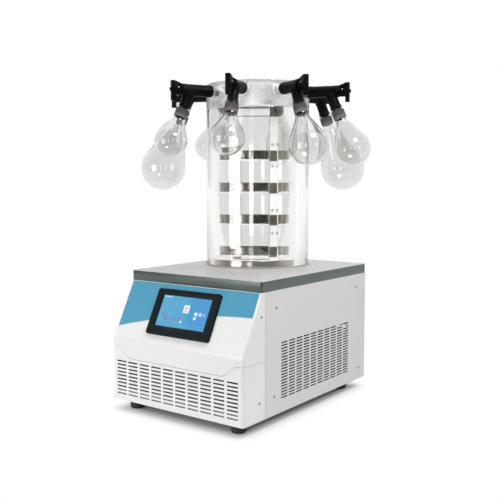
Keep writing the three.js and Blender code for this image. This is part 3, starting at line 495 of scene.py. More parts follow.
# ------------------------------------------------------------------ finishes
def start_material(name):
    """A new material with its node tree, its shader and the piece's own place."""
    material = bpy.data.materials.new(name)
    material.use_nodes = True
    tree = material.node_tree
    place = tree.nodes.new("ShaderNodeTexCoord").outputs["Object"]
    return material, tree, tree.nodes["Principled BSDF"], place


def grouped(tree, group, inputs):
    """The outputs of an effect placed in a material with its own values."""
    return node(tree, "ShaderNodeGroup", inputs, node_tree=group).outputs


def coated(
    name, colour, roughness, specular=0.5, peel=420.0, bump=0.05, clouds=0.05, dust=0.15, coat=0.0,
    dust_colour=(0.5, 0.49, 0.47),
):
    """Paint, plastic or rubber: tone = colour * (1 -+ clouds) under settled dust; roughness = a fine noise
    about its own value + dulling * dust + smear * touches; height = the sprayed skin's."""
    glossiest, glossier, rougher, dulling, smear = 0.02, 0.06, 0.07, 0.3, 0.05
    material, tree, shader, place = start_material(name)
    skin = grouped(tree, SPRAYED, {"Vector": place, "Peel Scale": peel})
    dusty = grouped(tree, DUST, {"Vector": place, "Amount": dust})["Mask"]
    worn = grouped(tree, MARKS, {"Vector": place, "Scale": 26.0})
    tone = mixed(tree, skin["Clouds"], toned(colour, 1 - clouds), toned(colour, 1 + clouds))
    lowest, highest = max(glossiest, roughness - glossier), roughness + rougher
    rough = fitted(tree, skin["Fine"], *NOISE_SPAN, lowest, highest)
    rough = added(tree, added(tree, rough, dusty, dulling), worn["Touches"], smear)
    inputs = {
        "Base Color": mixed(tree, dusty, tone, toned(dust_colour)),
        "Roughness": rough,
        "Normal": relief(tree, skin["Height"], bump, 0.4 * MM),
        "Specular IOR Level": specular,
        "Coat Weight": coat,
        "Coat Roughness": 0.08,
    }
    feed(tree, shader, inputs)
    return material


def steel(
    name, colour, roughness, stretch, scale=60.0, contrast=0.16, bump=0.08, dust=0.1, metallic=1.0
):
    """Brushed or rolled sheet: lines along one direction change the tone, colour * (1 -+ contrast), the
    gloss, roughness -+ swing, and the height together, under patches of 1 -+ patchy, dust and touches."""
    glossiest, swing, dulling, smear, patchy = 0.03, 0.08, 0.25, 0.06, 0.06
    dust_colour = (0.45, 0.45, 0.44, 1)
    material, tree, shader, place = start_material(name)
    lines = grouped(tree, BRUSHED, {"Vector": place, "Scale": scale, "Stretch": stretch})
    dusty = grouped(tree, DUST, {"Vector": place, "Amount": dust})["Mask"]
    worn = grouped(tree, MARKS, {"Vector": place, "Scale": 34.0})
    sharpened = fitted(tree, lines["Lines"], *NOISE_SPAN)
    tone = mixed(tree, sharpened, toned(colour, 1 - contrast), toned(colour, 1 + contrast))
    shade = fitted(tree, lines["Patches"], *NOISE_SPAN, 1 - patchy, 1 + patchy)
    grey = node(tree, "ShaderNodeCombineXYZ", {0: shade, 1: shade, 2: shade}).outputs[0]
    tone = mixed(tree, 1.0, tone, grey, "MULTIPLY")
    lowest, highest = max(glossiest, roughness - swing), roughness + swing
    rough = fitted(tree, lines["Lines"], 0.25, 0.75, lowest, highest)
    rough = added(tree, added(tree, rough, dusty, dulling), worn["Touches"], smear)
    inputs = {
        "Base Color": mixed(tree, dusty, tone, dust_colour),
        "Roughness": rough,
        "Normal": relief(tree, lines["Lines"], bump, 0.3 * MM),
        "Metallic": metallic,
    }
    feed(tree, shader, inputs)
    return material


def clear(name, tint, ior, shadow, haze, waves, coat=0.0, base_haze=0.0, bore=None):
    """Clear acrylic or glass: roughness = base haze + haze * touches, slow draw waves in its height, and
    scratches a little paler. It lets the shadow share of the lamplight through. With a bore, (centre,
    radius), the coat is only where the distance from that upright axis is over the radius."""
    scratch_strength, paler, wave_scale = 0.25, 1.02, 14.0
    material, tree, shader, place = start_material(name)
    worn = grouped(tree, MARKS, {"Vector": place, "Scale": 22.0})
    weight = coat
    if bore:
        centre, radius = bore
        from_axis = vector_math(tree, "SUBTRACT", place, (*centre[:2], 0))
        level = vector_math(tree, "MULTIPLY", from_axis, (1, 1, 0))
        weight = fitted(tree, vector_math(tree, "LENGTH", level), radius, radius + MM, 0.0, coat)
    scratched = fitted(tree, worn["Scratches"], 0.0, 1.0, 0.0, scratch_strength)
    inputs = {
        "Base Color": mixed(tree, scratched, toned(tint), toned(tint, paler)),
        "Roughness": fitted(tree, worn["Touches"], 0.0, 1.0, base_haze, base_haze + haze),
        "Normal": relief(tree, noise(tree, place, wave_scale, 1.0), waves, 2 * MM),
        "Coat Weight": weight,
        "Coat IOR": 1.9,
        "Coat Roughness": 0.02,
        "Transmission Weight": 1.0,
        "IOR": ior,
    }
    feed(tree, shader, inputs)
    pass_light = node(tree, "ShaderNodeBsdfTransparent", {"Color": (shadow, shadow, shadow, 1)})
    in_shadow = node(tree, "ShaderNodeLightPath", {}).outputs["Is Shadow Ray"]
    shader_mix(tree, in_shadow, shader.outputs[0], pass_light.outputs[0])
    return material


white_paint = coated(
    "white_paint", (0.86, 0.856, 0.85), 0.36, bump=0.06, clouds=0.015, coat=0.25, dust=0.08
)
grey_paint = coated(
    "grey_paint", (0.73, 0.725, 0.715), 0.42, peel=520.0, bump=0.08, clouds=0.02, coat=0.15, dust=0.1
)
blue_film = coated(
    "blue_film", (0.075, 0.345, 0.53), 0.32, peel=900.0, bump=0.02, clouds=0.03, coat=0.3, dust=0.05
)
black_plastic = coated(
    "black_plastic", (0.0045, 0.0085, 0.0105), 0.34, specular=0.2,
    peel=1500.0, bump=0.12, clouds=0.1, dust=0.12,
)
valve_rubber = coated(
    "valve_rubber", (0.0025, 0.0025, 0.0027), 0.42, specular=0.085,
    peel=700.0, bump=0.12, clouds=0.2, dust=0.06, dust_colour=(0.03, 0.03, 0.03),
)
foot_rubber = coated("foot_rubber", (0.03, 0.021, 0.017), 0.7, peel=500.0, bump=0.3, clouds=0.3, dust=0.2)
gasket_rubber = coated("gasket_rubber", (0.72, 0.715, 0.7), 0.6, peel=600.0, bump=0.2, clouds=0.1, dust=0.1)
seal_rubber = coated("seal_rubber", (0.33, 0.33, 0.31), 0.5, peel=600.0, bump=0.2, clouds=0.15)
# Black paint; on the screw heads' cross bars the same black is painted shade.
black_paint = coated(
    "black_paint", (0.012, 0.012, 0.013), 0.35, peel=300.0, bump=0.15, clouds=0.2, dust=0.25, coat=0.2
)
# Dark felt lining the panels' insides; on the slot walls the same dark is painted shade that darkens the
# slots.
felt_and_slot_shade = coated(
    "felt_and_slot_shade", (0.01, 0.01, 0.01), 0.95, specular=0.1, peel=300.0, bump=0.6, clouds=0.3, dust=0.0
)
foam_skin = coated("foam_skin", (0.02, 0.02, 0.021), 0.9, peel=240.0, bump=0.7, clouds=0.15, dust=0.1)
lagging = coated("lagging", (0.02, 0.02, 0.021), 0.85, bump=0.5, clouds=0.3, dust=0.2)

# Ways that the lines run: a small factor draws them out along its axis, and ROLLED sheet has none.
FORE_AND_AFT, LEVEL, UPRIGHT = (1.0, 0.03, 1.0), (0.03, 0.03, 1.0), (1.0, 1.0, 0.02)
ROLLED = (1.0, 1.0, 1.0)
plate_steel = steel(
    "plate_steel", (0.52, 0.52, 0.51), 0.5, FORE_AND_AFT, scale=240.0, contrast=0.05, metallic=0.15, dust=0.05
)
# Painted shade: a darker steel for the work surface's skirt, the same sheet as its top.
shaded_skirt_steel = steel(
    "shaded_skirt_steel", (0.12, 0.14, 0.13), 0.34, LEVEL, scale=420.0, contrast=0.22, metallic=0.9, dust=0.0
)
rack_steel = steel(
    "rack_steel", (0.9, 0.89, 0.87), 0.35, (0.05, 0.05, 1.0),
    scale=300.0, contrast=0.06, dust=0.04, metallic=0.05,
)
# Its strong upright light and dark stripes are partly grain and partly painted light and shade for ribbing on
# the trays.
tray_steel_and_rib_shade = steel("tray_steel_and_rib_shade", (0.3, 0.285, 0.25), 0.2, UPRIGHT, scale=170.0, contrast=0.8)
# Dark steel of the brackets; on the posts' edge strips it is painted shade.
brackets_and_edge_shade = steel(
    "brackets_and_edge_shade", (0.15, 0.14, 0.11), 0.4, (1.0, 1.0, 0.1), scale=150.0, contrast=0.4, metallic=0.6
)
collar_steel = steel("collar_steel", (0.44, 0.4, 0.31), 0.2, LEVEL, scale=200.0, contrast=0.12)
zinc_steel = steel("zinc_steel", (0.3, 0.31, 0.32), 0.45, ROLLED, scale=45.0, contrast=0.2, bump=0.05)
fin_metal = steel("fin_metal", (0.12, 0.125, 0.13), 0.5, (9.0, 0.2, 0.2), scale=90.0, contrast=0.7, bump=0.8)
copper = steel("copper", (0.5, 0.23, 0.13), 0.34, ROLLED, contrast=0.25)
brass = steel("brass", (0.45, 0.33, 0.13), 0.3, (1.0, 1.0, 0.2), scale=150.0, contrast=0.15)

ACRYLIC_TINT, ACRYLIC_IOR, ACRYLIC_SHADOW = (0.985, 0.98, 0.975), 1.49, 0.97
OUTER_FACE = (CHAMBER_AXIS, (CHAMBER_RADIUS - 4) * MM)
chamber_acrylic = clear(
    "chamber_acrylic", ACRYLIC_TINT, ACRYLIC_IOR, ACRYLIC_SHADOW, haze=0.03, waves=0.02, coat=1.0,
    bore=OUTER_FACE,
)
head_acrylic = clear(
    "head_acrylic", ACRYLIC_TINT, ACRYLIC_IOR, ACRYLIC_SHADOW, haze=0.06, waves=0.03, coat=0.1,
    base_haze=0.25,
)
flask_glass = clear("flask_glass", (0.86, 0.857, 0.85), 1.47, 0.95, haze=0.02, waves=0.04)


def build_ground_glass():
    """Ground joint: a frosted band round the neck, tone = dark + (light - dark) * (the ring's own V from
    0.45 to 1), lighter towards its lower end, with a fine tooth in its height, tone and roughness."""
    material, tree, shader, place = start_material("ground_glass")
    skin = grouped(tree, SPRAYED, {"Vector": place, "Peel Scale": 900.0, "Tooth": 0.6})
    dark, light, grains = (0.055, 0.048, 0.048, 1), (0.2, 0.19, 0.185, 1), (0.4, 0.38, 0.37, 1)
    uv = tree.nodes.new("ShaderNodeUVMap").outputs[0]
    down = node(tree, "ShaderNodeSeparateXYZ", {0: uv}).outputs["Y"]
    tone = mixed(tree, fitted(tree, down, 0.45, 1.0), dark, light)
    tooth = fitted(tree, skin["Fine"], *NOISE_SPAN, 0.0, 0.15)
    inputs = {
        "Base Color": mixed(tree, tooth, tone, grains),
        "Roughness": fitted(tree, skin["Fine"], *NOISE_SPAN, 0.7, 0.9),
        "Normal": relief(tree, skin["Height"], 0.1, 0.3 * MM),
        "Specular IOR Level": 0.15,
    }
    feed(tree, shader, inputs)
    return material


# Marks of the display's picture: the middle and half size as shares of the pane, and the colour.
DISPLAY_TILE = (0.80, 0.55, 0.19, 0.42, (0.055, 0.27, 0.56, 1))
DISPLAY_KEYS = [
    (0.545, 0.62, 0.060, 0.125, (0.75, 0.80, 0.86, 1)),
    (0.545, 0.65, 0.036, 0.035, (0.72, 0.42, 0.50, 1)),
    (0.545, 0.56, 0.040, 0.035, (0.74, 0.55, 0.62, 1)),
    (0.760, 0.50, 0.030, 0.052, (0.62, 0.80, 0.95, 1)),
    (0.850, 0.50, 0.030, 0.052, (0.52, 0.62, 0.92, 1)),
    (0.930, 0.50, 0.022, 0.045, (0.20, 0.42, 0.86, 1)),
    (0.760, 0.36, 0.026, 0.045, (0.62, 0.82, 0.95, 1)),
    (0.500, 0.20, 0.022, 0.035, (0.45, 0.72, 0.92, 1)),
]
DISPLAY_LINES = [
    (0.300, 0.235, 0.155, 0.010, (0.16, 0.12, 0.42, 1)),
    (0.330, 0.300, 0.110, 0.012, (0.20, 0.14, 0.46, 1)),
    (0.350, 0.365, 0.080, 0.010, (0.24, 0.20, 0.52, 1)),
    (0.165, 0.300, 0.012, 0.085, (0.16, 0.12, 0.44, 1)),
    (0.100, 0.955, 0.080, 0.016, (0.40, 0.68, 0.90, 1)),
]
DISPLAY_TRACE = (0.140, 0.330, 0.080, 0.110, (0.18, 0.13, 0.45, 1))


def build_display():
    """The lit display: a pale-to-deep blue ground with a plain tile, keys, lines and a slanting trace on
    it. Every mark is a box test on the pane's own UV, inside where |u - u0| and |v - v0| are both small;
    the trace is where |u + slope * v - start| is small."""
    material, tree, shader, _ = start_material("display")
    uv = tree.nodes.new("ShaderNodeUVMap").outputs[0]
    split = node(tree, "ShaderNodeSeparateXYZ", {0: uv}).outputs
    u, v = split["X"], split["Y"]

    def near(value, middle, half, soft):
        """1 where |value - middle| is under half, fading to 0 over the soft width on both sides."""
        distance = math_node(tree, "ABSOLUTE", math_node(tree, "SUBTRACT", value, middle))
        return fitted(tree, distance, half - soft, half + soft, 1.0, 0.0)

    def inside(u0, v0, half_u, half_v):
        """near in u times near in v."""
        soft = 0.004
        return math_node(tree, "MULTIPLY", near(u, u0, half_u, soft), near(v, v0, half_v, soft))

    left, right, cloud = (0.075, 0.33, 0.52, 1), (0.05, 0.27, 0.52, 1), (0.12, 0.42, 0.62, 1)
    clouds = fitted(tree, noise(tree, uv, 3.0, 2.0), 0.4, 0.7, 0.0, 0.35)
    tone = mixed(tree, clouds, mixed(tree, fitted(tree, u, 0.3, 1.0), left, right), cloud)
    for *box, colour in (DISPLAY_TILE, *DISPLAY_KEYS, *DISPLAY_LINES):
        tone = mixed(tree, inside(*box), tone, colour)
    slope, start, half_width = 0.35, 0.235, 0.013
    *trace_box, trace_colour = DISPLAY_TRACE
    slanted = math_node(tree, "ADD", u, math_node(tree, "MULTIPLY", v, slope))
    trace = math_node(tree, "MULTIPLY", near(slanted, start, half_width, 0.003), inside(*trace_box))
    tone = mixed(tree, trace, tone, trace_colour)
    inputs = {
        "Base Color": tone,
        "Emission Color": tone,
        "Emission Strength": 0.2,
        "Roughness": 0.3,
        "Coat Weight": 0.6,
        "Coat Roughness": 0.05,
    }
    feed(tree, shader, inputs)
    return material


ground_glass, display = build_ground_glass(), build_display()

# ------------------------------------------------------------------ base: covers, panels, plate, feet
# On the slotted panels the slot walls take the dark felt as painted shade.
refined("lower_front_grille", white_paint, Y, felt_and_slot_shade, shade_slots=True)
refined("upper_front_cover", white_paint, Y, felt_and_slot_shade)
refined("left_side_panel", grey_paint, X, felt_and_slot_shade, shade_slots=True)
refined("right_side_panel", grey_paint, -X, felt_and_slot_shade, shade_slots=True)
refined("rear_panel", grey_paint, -Y, felt_and_slot_shade, shade_slots=True)
refined("base_pan", zinc_steel)
refined("compressor", black_paint)
refined("fan_shroud", black_paint)
repaint("condenser", fin_metal)
repaint("fan_rotor", black_plastic)
repaint("trap_insulation", foam_skin)
repaint("power_rocker", black_plastic)


def work_surface():
    """One folded sheet: rings of equal count run from the skirt's inside edge, round its fold, over the
    top to the trap's hole and back underneath. A ring is the rounded rectangle scaled by
    1 - inset / half its size, or the hole's circle at the same bearings; a fold's rings are
    inset r * (1 - cos a), drop r * (1 - sin a)."""
    count, corner = 96, 5 * MM
    sheet, hem, fold, inside_fold = 2 * MM, 0.4 * MM, 2.5 * MM, 0.5 * MM
    hole_radius = 112 * MM
    low, top = plate_low[2], PLATE_TOP
    size, middle = (plate_high - plate_low)[:2], PLATE_MIDDLE[:2]
    flat = round_rectangle(*size, corner, count // 4)
    from_trap = flat + middle - TRAP_AXIS[:2]
    turn = np.arctan2(from_trap[:, 1], from_trap[:, 0])
    circle = np.stack([np.cos(turn), np.sin(turn)], -1)

    def rectangle(inset, height):
        """The sheet's outline drawn in by the inset, at a height."""
        return np.column_stack([flat * (1 - inset / (size / 2)) + middle, np.full(count, height)])

    def hole(height):
        """The trap's hole at the outline's own bearings, at a height."""
        return np.column_stack([circle * hole_radius + TRAP_AXIS[:2], np.full(count, height)])

    def folded(radius, inset, drop):
        """Five rings over a quarter turn, from the skirt's face up to the top's."""
        a = np.linspace(0, math.pi / 2, 5)
        steps = zip(radius * (1 - np.cos(a)), radius * (1 - np.sin(a)))
        return [rectangle(inset + inwards, top - drop - down) for inwards, down in steps]

    skirt = [rectangle(sheet, low), rectangle(hem, low), rectangle(0, low + hem)]
    over = [*folded(fold, 0, 0), hole(top)]
    return lofted([*skirt, *over, hole(top - sheet), *folded(inside_fold, sheet, sheet)[::-1]])


surface = piece(
    "work_surface", work_surface(), plate_steel, "machine", "top_plate", crease=60
)
# The skirt starts part of the way round the fold, where a face's normal has turned well off the upright. Its
# darker steel is painted shade on the same sheet as the top.
SKIRT_NORMAL = 0.35
skirt_shade_faces = np.abs(per_face(surface.data, "normal")[:, 2]) < SKIRT_NORMAL
second_finish(surface.data, shaded_skirt_steel, skirt_shade_faces)


def foot_profile(radius, height):
    """Section of a moulded foot: chamfered at the bench, widest just above it, drawn in at its top."""
    bottom, top, widest = radius - 3 * MM, radius - 2 * MM, 5 * MM
    corners = [(0, 0), (bottom, 0), (radius, widest), (top, height), (0, height)]
    return eased(corners, 1.5 * MM, closed=False)


for name in ("foot_front_left", "foot_front_right", "foot_rear_left", "foot_rear_right"):
    low, high = corners_of(name)
    profile = foot_profile((high[1] - low[1]) / 2, high[2])
    shell = turned(profile, FACETS["fitting"], axes_from(axis_through(low, high), Z), closed=False)
    piece(name + "_moulded", shell, foot_rubber, "machine", name)

# ------------------------------------------------------------------ the sloping face's own axes
# How far the face comes forward on its way down, and the height of its lower edge.
SLOPE_REACH, KNEE = 76 * MM, 196 * MM
SLOPE_TOP = np.array([PLATE_MIDDLE[0], plate_low[1], corners_of("upper_front_cover")[1][2]])
down_slope = unit([0, -SLOPE_REACH, KNEE - SLOPE_TOP[2]])
SLOPE = (SLOPE_TOP, X, -down_slope, np.cross(X, -down_slope))


def on_slope(x, down, out):
    """Millimetres across, down the slope D and out along its normal N: top + x X + down D + out N."""
    return placed(np.stack(np.broadcast_arrays(x, -np.asarray(down), out), -1) * MM, SLOPE)


def printed_band():
    """The film's front is a grid between its straight top and the parabola 83.8 - 0.1584 x + 0.000325 x^2,
    cut away behind the screen's housing, and a second layer behind it gives its thickness."""
    half, housing_half, gap, columns = 214, 106.8, 0.1, 40
    top, under_housing, front_out, back_out = 1.5, 15.2, 0.9, 0.3
    left = np.linspace(-half, -housing_half - gap, columns)
    right = np.linspace(housing_half + gap, half, columns)
    x = np.concatenate([left, [-housing_half, housing_half], right])
    parabola = 83.8 - 0.1584 * x + 0.000325 * x**2
    lower = np.where(np.abs(x) < housing_half + gap / 2, under_housing, parabola)
    upper_edge = np.stack([x, np.full_like(x, top)], -1)
    across, down = np.concatenate([upper_edge, np.stack([x, lower], -1)[::-1]]).T
    n = len(across)
    k = np.arange(len(x) - 1)
    faces = np.stack([k, k + 1, n - 2 - k, n - 1 - k], -1)
    rim = np.arange(n)
    sides = np.stack([rim, (rim + 1) % n, (rim + 1) % n + n, rim + n], -1)
    points = np.concatenate([on_slope(across, down, front_out), on_slope(across, down, back_out)])
    return points, np.concatenate([faces, faces[:, ::-1] + n, sides]).tolist()


piece("blue_band", printed_band(), blue_film, "machine", "printed_band")

# ------------------------------------------------------------------ touch screen
# The housing's middle down the slope, and how far the window sits above that middle, in millimetres.
SCREEN_DOWN, WINDOW_UP = 79, 4
GLASS = (162, 84)
# Rings of the housing: width, height and corner radius, and how far out of the slope they lie.
HOUSING_RINGS = [
    (213, 127, 7, 0.4), (213, 127, 7, 4.6), (212.4, 126.4, 6.8, 5.6), (211, 125, 6.2, 6.2),
    (209, 123, 5.5, 6.3),
]
WINDOW_RINGS = [
    (169, 91, 2.5, 6.3), (167.6, 89.6, 2.2, 6.0), (164, 86, 1.5, 4.9), (162.6, 84.6, 1.2, 4.4),
    (162.4, 84.4, 1.2, 3.6),
]
BODY_RINGS = [(196, 114, 3, 3.5), (196, 114, 3, -26.0)]


def housing_ring(width, height, radius, out, up=0.0):
    """A rounded rectangle laid on the slope about the screen's middle, moved up it and out of it."""
    flat = round_rectangle(width, height, radius, 8)
    return on_slope(flat[:, 0], SCREEN_DOWN - up - flat[:, 1], out)


def screen_housing():
    """The rim, lofted from its back edge out over the frame and down into the window, and a capped body
    behind it that reaches through the cover."""
    rim = [housing_ring(*ring) for ring in HOUSING_RINGS]
    rim += [housing_ring(*ring, WINDOW_UP) for ring in WINDOW_RINGS]
    return joined(lofted(rim, wrap_rows=False), capped([housing_ring(*ring) for ring in BODY_RINGS]))


def glass_pane():
    """A flat pane: the box between two rectangles on the slope, half its width and height either way."""
    front, back = 5.0, 3.8
    signs = np.array([(-1, -1), (1, -1), (1, 1), (-1, 1)])
    x, up = (signs * np.array(GLASS) / 2).T
    points = np.concatenate([on_slope(x, SCREEN_DOWN - WINDOW_UP - up, out) for out in (front, back)])
    edges = [[k, (k + 1) % 4, (k + 1) % 4 + 4, k + 4] for k in range(4)]
    return points, [[0, 1, 2, 3], [7, 6, 5, 4], *edges]


piece(
    "screen_housing", screen_housing(), black_plastic, "machine", "screen_bezel", crease=50
)
pane = piece("touch_glass", glass_pane(), display, "machine", "screen_glass")
flat_uv(pane, on_slope(0, SCREEN_DOWN - WINDOW_UP, 0), SLOPE[1], SLOPE[2], GLASS)


# ------------------------------------------------------------------ small fasteners on the covers
def screw_head(centre, outward, radius=3.2, dome=1.5):
    """A pan head: its section is the quarter ellipse (radius cos a, rim + dome sin a) over a flat foot."""
    rim = 0.3
    a = np.linspace(0, math.pi / 2, 6)
    profile = np.stack([radius * np.cos(a), rim + dome * np.sin(a)], -1) * MM
    profile = np.concatenate([[[0, 0]], [[radius * MM, 0]], profile])
    profile[-1, 0] = 0
    return turned(profile, FACETS["screw"], axes_from(centre, outward), closed=False)


def cross_recess_shade(centre, outward):
    """Painted shade of a cross recess: two dark bars at right angles, just proud of the head."""
    half_length, half_width, proud = 1.7, 0.35, 1.85
    axes = axes_from(centre, outward)
    bars = []
    for a, b in ((half_length, half_width), (half_width, half_length)):
        points, faces = slab((-a * MM, -b * MM, 0), (a * MM, b * MM, proud * MM))
        bars.append((placed(points, axes), faces))
    return joined(*bars)


def on_base(x, y, z):
    """Millimetres from the work surface's middle and from the bench, as a place in the frame."""
    return np.array([x, y, z]) * MM + [PLATE_MIDDLE[0], PLATE_MIDDLE[1], 0]


# The panels' faces from the work surface's middle, and their screws as (y, z) or (x, z).
SIDE_FACE, REAR_FACE = 220, 267.5
SIDE_SCREWS = [(-204, 301), (-213, 76), (206, 308), (-269, 286), (-277, 74), (232, 62)]
REAR_SCREWS = [(-205, 330), (205, 330), (-205, 60), (205, 60), (0, 330)]
screws = [(on_base(side * SIDE_FACE, y, z), X * side) for side in SIDES for y, z in SIDE_SCREWS]
screws += [(on_base(x, REAR_FACE, z), Y) for x, z in REAR_SCREWS]
heads = joined(*[screw_head(*screw) for screw in screws])
piece("cover_screws", heads, zinc_steel, "machine")
# Painted shade: two dark bars on each screw head stand for the shade in its cross recess.
recess_shade = joined(*[cross_recess_shade(*screw) for screw in screws])
piece("screw_recess_shade", recess_shade, black_paint, "machine")

# ------------------------------------------------------------------ cold trap, seal, chamber, head
# Ring sections are (radius, height over the work surface) in millimetres.
TRAP_FRAME = axes_from([*TRAP_AXIS[:2], PLATE_TOP], Z)
CHAMBER_FRAME = axes_from([*CHAMBER_AXIS[:2], PLATE_TOP], Z)


def heights_of(name):
    """A node's lowest and highest place over the work surface, in millimetres."""
    return [(corner[2] - PLATE_TOP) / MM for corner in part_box(name)]


def square_ring(inner, outer, low, high, radius):
    """Section of a ring with its four corners eased by one radius, or by one each."""
    return ring_profile([(inner, low), (outer, low), (outer, high), (inner, high)], radius)


def trap_profile():
    """The cold trap's section, from a pinhole on its axis along the bottom, up the outside, round the
    collar that lies on the work surface, and down the inside."""
    pinhole, bore, outside, collar = 0.5, 105, 108, 119
    bottom, sheet, gap, collar_top = -176, 3, 0.3, 21
    below = [(pinhole, bottom), (outside, bottom), (outside, gap)]
    above = [(collar, gap), (collar, collar_top), (bore, collar_top)]
    inside = [(bore, bottom + sheet), (pinhole, bottom + sheet)]
    return ring_profile([*below, *above, *inside], [0.1, 8, 0.3, 1, 2.2, 2.2, 8, 0.1])


trap = turned(trap_profile(), FACETS["tray"], TRAP_FRAME)
piece("cold_trap", trap, collar_steel, "machine", "cold_trap_pot")
seal_section = ring_profile([(142.5, 0.3), (155, 0.3), (153.5, 3), (142.5, 3)], 0.8)
seal = turned(seal_section, FACETS["seal"], CHAMBER_FRAME)
piece("chamber_seal_moulded", seal, seal_rubber, "machine", "chamber_seal")
wall = square_ring(CHAMBER_BORE, CHAMBER_RADIUS, *heights_of("chamber_cylinder"), 0.9)
tube = turned(wall, FACETS["chamber"], CHAMBER_FRAME)
piece("chamber_tube", tube, chamber_acrylic, "machine", "chamber_cylinder")
gasket_section = square_ring(144.5, 151, *heights_of("head_gasket"), 0.6)
gasket = turned(gasket_section, FACETS["seal"], CHAMBER_FRAME)
piece("head_gasket_moulded", gasket, gasket_rubber, "machine", "head_gasket")


def head_cup():
    """The head's section from the axis out under its roof, down its inside, and up its outside."""
    roof = 10
    low, high = heights_of("manifold_head")
    ceiling = high - roof
    inside = [(0, ceiling), (CHAMBER_BORE, ceiling), (CHAMBER_BORE, low)]
    outside = [(CHAMBER_RADIUS, low), (CHAMBER_RADIUS, high), (0, high)]
    return open_profile([*inside, *outside], [0, 3, 0.9, 0.9, 1.4, 0], 5)


cup = turned(head_cup(), FACETS["chamber"], CHAMBER_FRAME, closed=False)
piece("head_cup", cup, head_acrylic, "machine", "manifold_head")


def port_axes(index):
    """Origin on the chamber's axis at the port's height, third axis out through the port."""
    knob = JOINTS[f"valve_turn_{index}"]
    return axes_from([*CHAMBER_AXIS[:2], knob["pos_m"][2]], np.array(knob["axis"], float))


boss = square_ring(12.4, 20, 115.8, 143.2, [1.2, 1.6, 0.2, 0.2])
bosses = joined(*[turned(boss, FACETS["fitting"], port_axes(index)) for index in PORTS])
piece("port_bosses", bosses, head_acrylic, "machine")

# ------------------------------------------------------------------ valves
# Radii and places in millimetres: along a valve from the chamber's axis, and down a leg from the barrel's.
VALVE_START, VALVE_END, LEG_AT = 150.6, 241.5, 214.0
KNOB_END = VALVE_END + 30.3
STUB, BARREL, COLLAR, LEG, PLUG = 12.1, 16.4, 17, 15, 13.6
LEAN = math.radians(23)
# Degrees by which a valve sits turned in its port, where it isn't square.
VALVE_TURNS = {6: 13}


def valve_axes(index):
    """The port's axes turned about its outward axis by the valve's own angle: the first two axes become
    first cos t + second sin t and second cos t - first sin t."""
    origin, first, second, outward = port_axes(index)
    t = math.radians(VALVE_TURNS.get(index, 0))
    across, up = first * math.cos(t) + second * math.sin(t), second * math.cos(t) - first * math.sin(t)
    return origin, across, up, outward


def leg_axes(index):
    """Origin where the leg's axis meets the barrel's, third axis back up the leaning leg:
    cos(lean) up - sin(lean) outward."""
    origin, _, up, outward = valve_axes(index)
    return axes_from(origin + outward * LEG_AT * MM, math.cos(LEAN) * up - math.sin(LEAN) * outward)


def barrel_profile():
    """The stub in the port, the barrel with a collar at each end, and the recess for the knob's stem."""
    stub = [(0, 127.6), (10.5, 127.6), (STUB, 130), (STUB, VALVE_START)]
    near = [(BARREL, VALVE_START), (COLLAR, VALVE_START + 2), (COLLAR, VALVE_START + 12)]
    tube = [(BARREL, VALVE_START + 14), (BARREL, VALVE_END - 14)]
    far = [(COLLAR, VALVE_END - 11), (COLLAR, VALVE_END), (14.6, VALVE_END)]
    recess = [(14, VALVE_END - 1.2), (9.6, VALVE_END - 1.2), (9, VALVE_END - 14), (0, VALVE_END - 14)]
    return open_profile([*stub, *near, *tube, *far, *recess], 1.2)


def leg_profile():
    """The leg from its lower end up: the plug that the flask's neck goes over, a shoulder, a bead round
    the leg, and the root that widens into the barrel."""
    plug = [(0, -87), (11.6, -87), (13, -85), (PLUG, -58), (PLUG, -54)]
    shoulder = [(16.8, -54), (COLLAR, -49), (15.2, -46), (LEG, -40)]
    bead = [(15.6, -38.5), (LEG, -37)]
    root = [(15.2, -22), (BARREL, -14), (BARREL, 0), (0, 0)]
    return open_profile([*plug, *shoulder, *bead, *root], 1.1)


def knob_profile():
    """The knob's stem, its flange against the barrel, and the hub through the wing."""
    stem = [(0, VALVE_END - 13.6), (7.2, VALVE_END - 13.6), (7.2, VALVE_END + 0.5)]
    flange = [(12.6, VALVE_END + 0.5), (12.6, VALVE_END + 5), (7, VALVE_END + 8)]
    hub = [(5, KNOB_END - 1), (5, KNOB_END + 3), (4.2, KNOB_END + 3.9), (0, KNOB_END + 3.9)]
    return open_profile([*stem, *flange, *hub], 0.8)


# The knob's wing: its outline along the valve and up, and its half widths with how far each is drawn in.
WING = [
    (VALVE_END + 0.4, 16.6), (KNOB_END - 9, 24.4), (KNOB_END, 24.4), (KNOB_END, -30.9),
    (KNOB_END - 11, -30.9), (KNOB_END - 11, -14.9), (VALVE_END + 0.4, -14.9),
]
WING_STEPS = [(-6.45, 1.2), (-6.1, 0.4), (-5.0, 0.05), (5.0, 0.05), (6.1, 0.4), (6.45, 1.2)]


def knob_wing(axes):
    """A plate in the plane of the axis and upwards: its eased outline p is stepped through the half
    widths as p + inset * (middle - p) / |middle - p|, then closed by two faces."""
    origin, sideways, up, along = axes
    outline = eased(WING, 1.6, 5)
    inwards = outline.mean(0) - outline
    inwards /= np.linalg.norm(inwards, axis=1)[:, None]
    loops = []
    for half, inset in WING_STEPS:
        flat = outline + inset * inwards
        loops.append(origin + (flat[:, :1] * along + flat[:, 1:] * up + half * sideways) * MM)
    return capped(loops)


def knob_pin(axes, side):
    """The head of the pin that holds the wing to its stem, on one face of the wing."""
    along, up, out = VALVE_END + 10.5, 6, 6.2
    centre = axes[0] + (axes[3] * along + axes[2] * up + axes[1] * side * out) * MM
    return screw_head(centre, axes[1] * side, radius=1.7, dome=0.6)


# ------------------------------------------------------------------ flasks
# The bulb's middle below the barrel's axis, and its radius.
SMALL, SLIM, LARGE, ROUND = (155, 47), (175, 51.7), (175, 53), (230, 68.8)
FLASK_SIZES = [SMALL, LARGE, SLIM, ROUND, LARGE, SMALL, ROUND, SMALL]
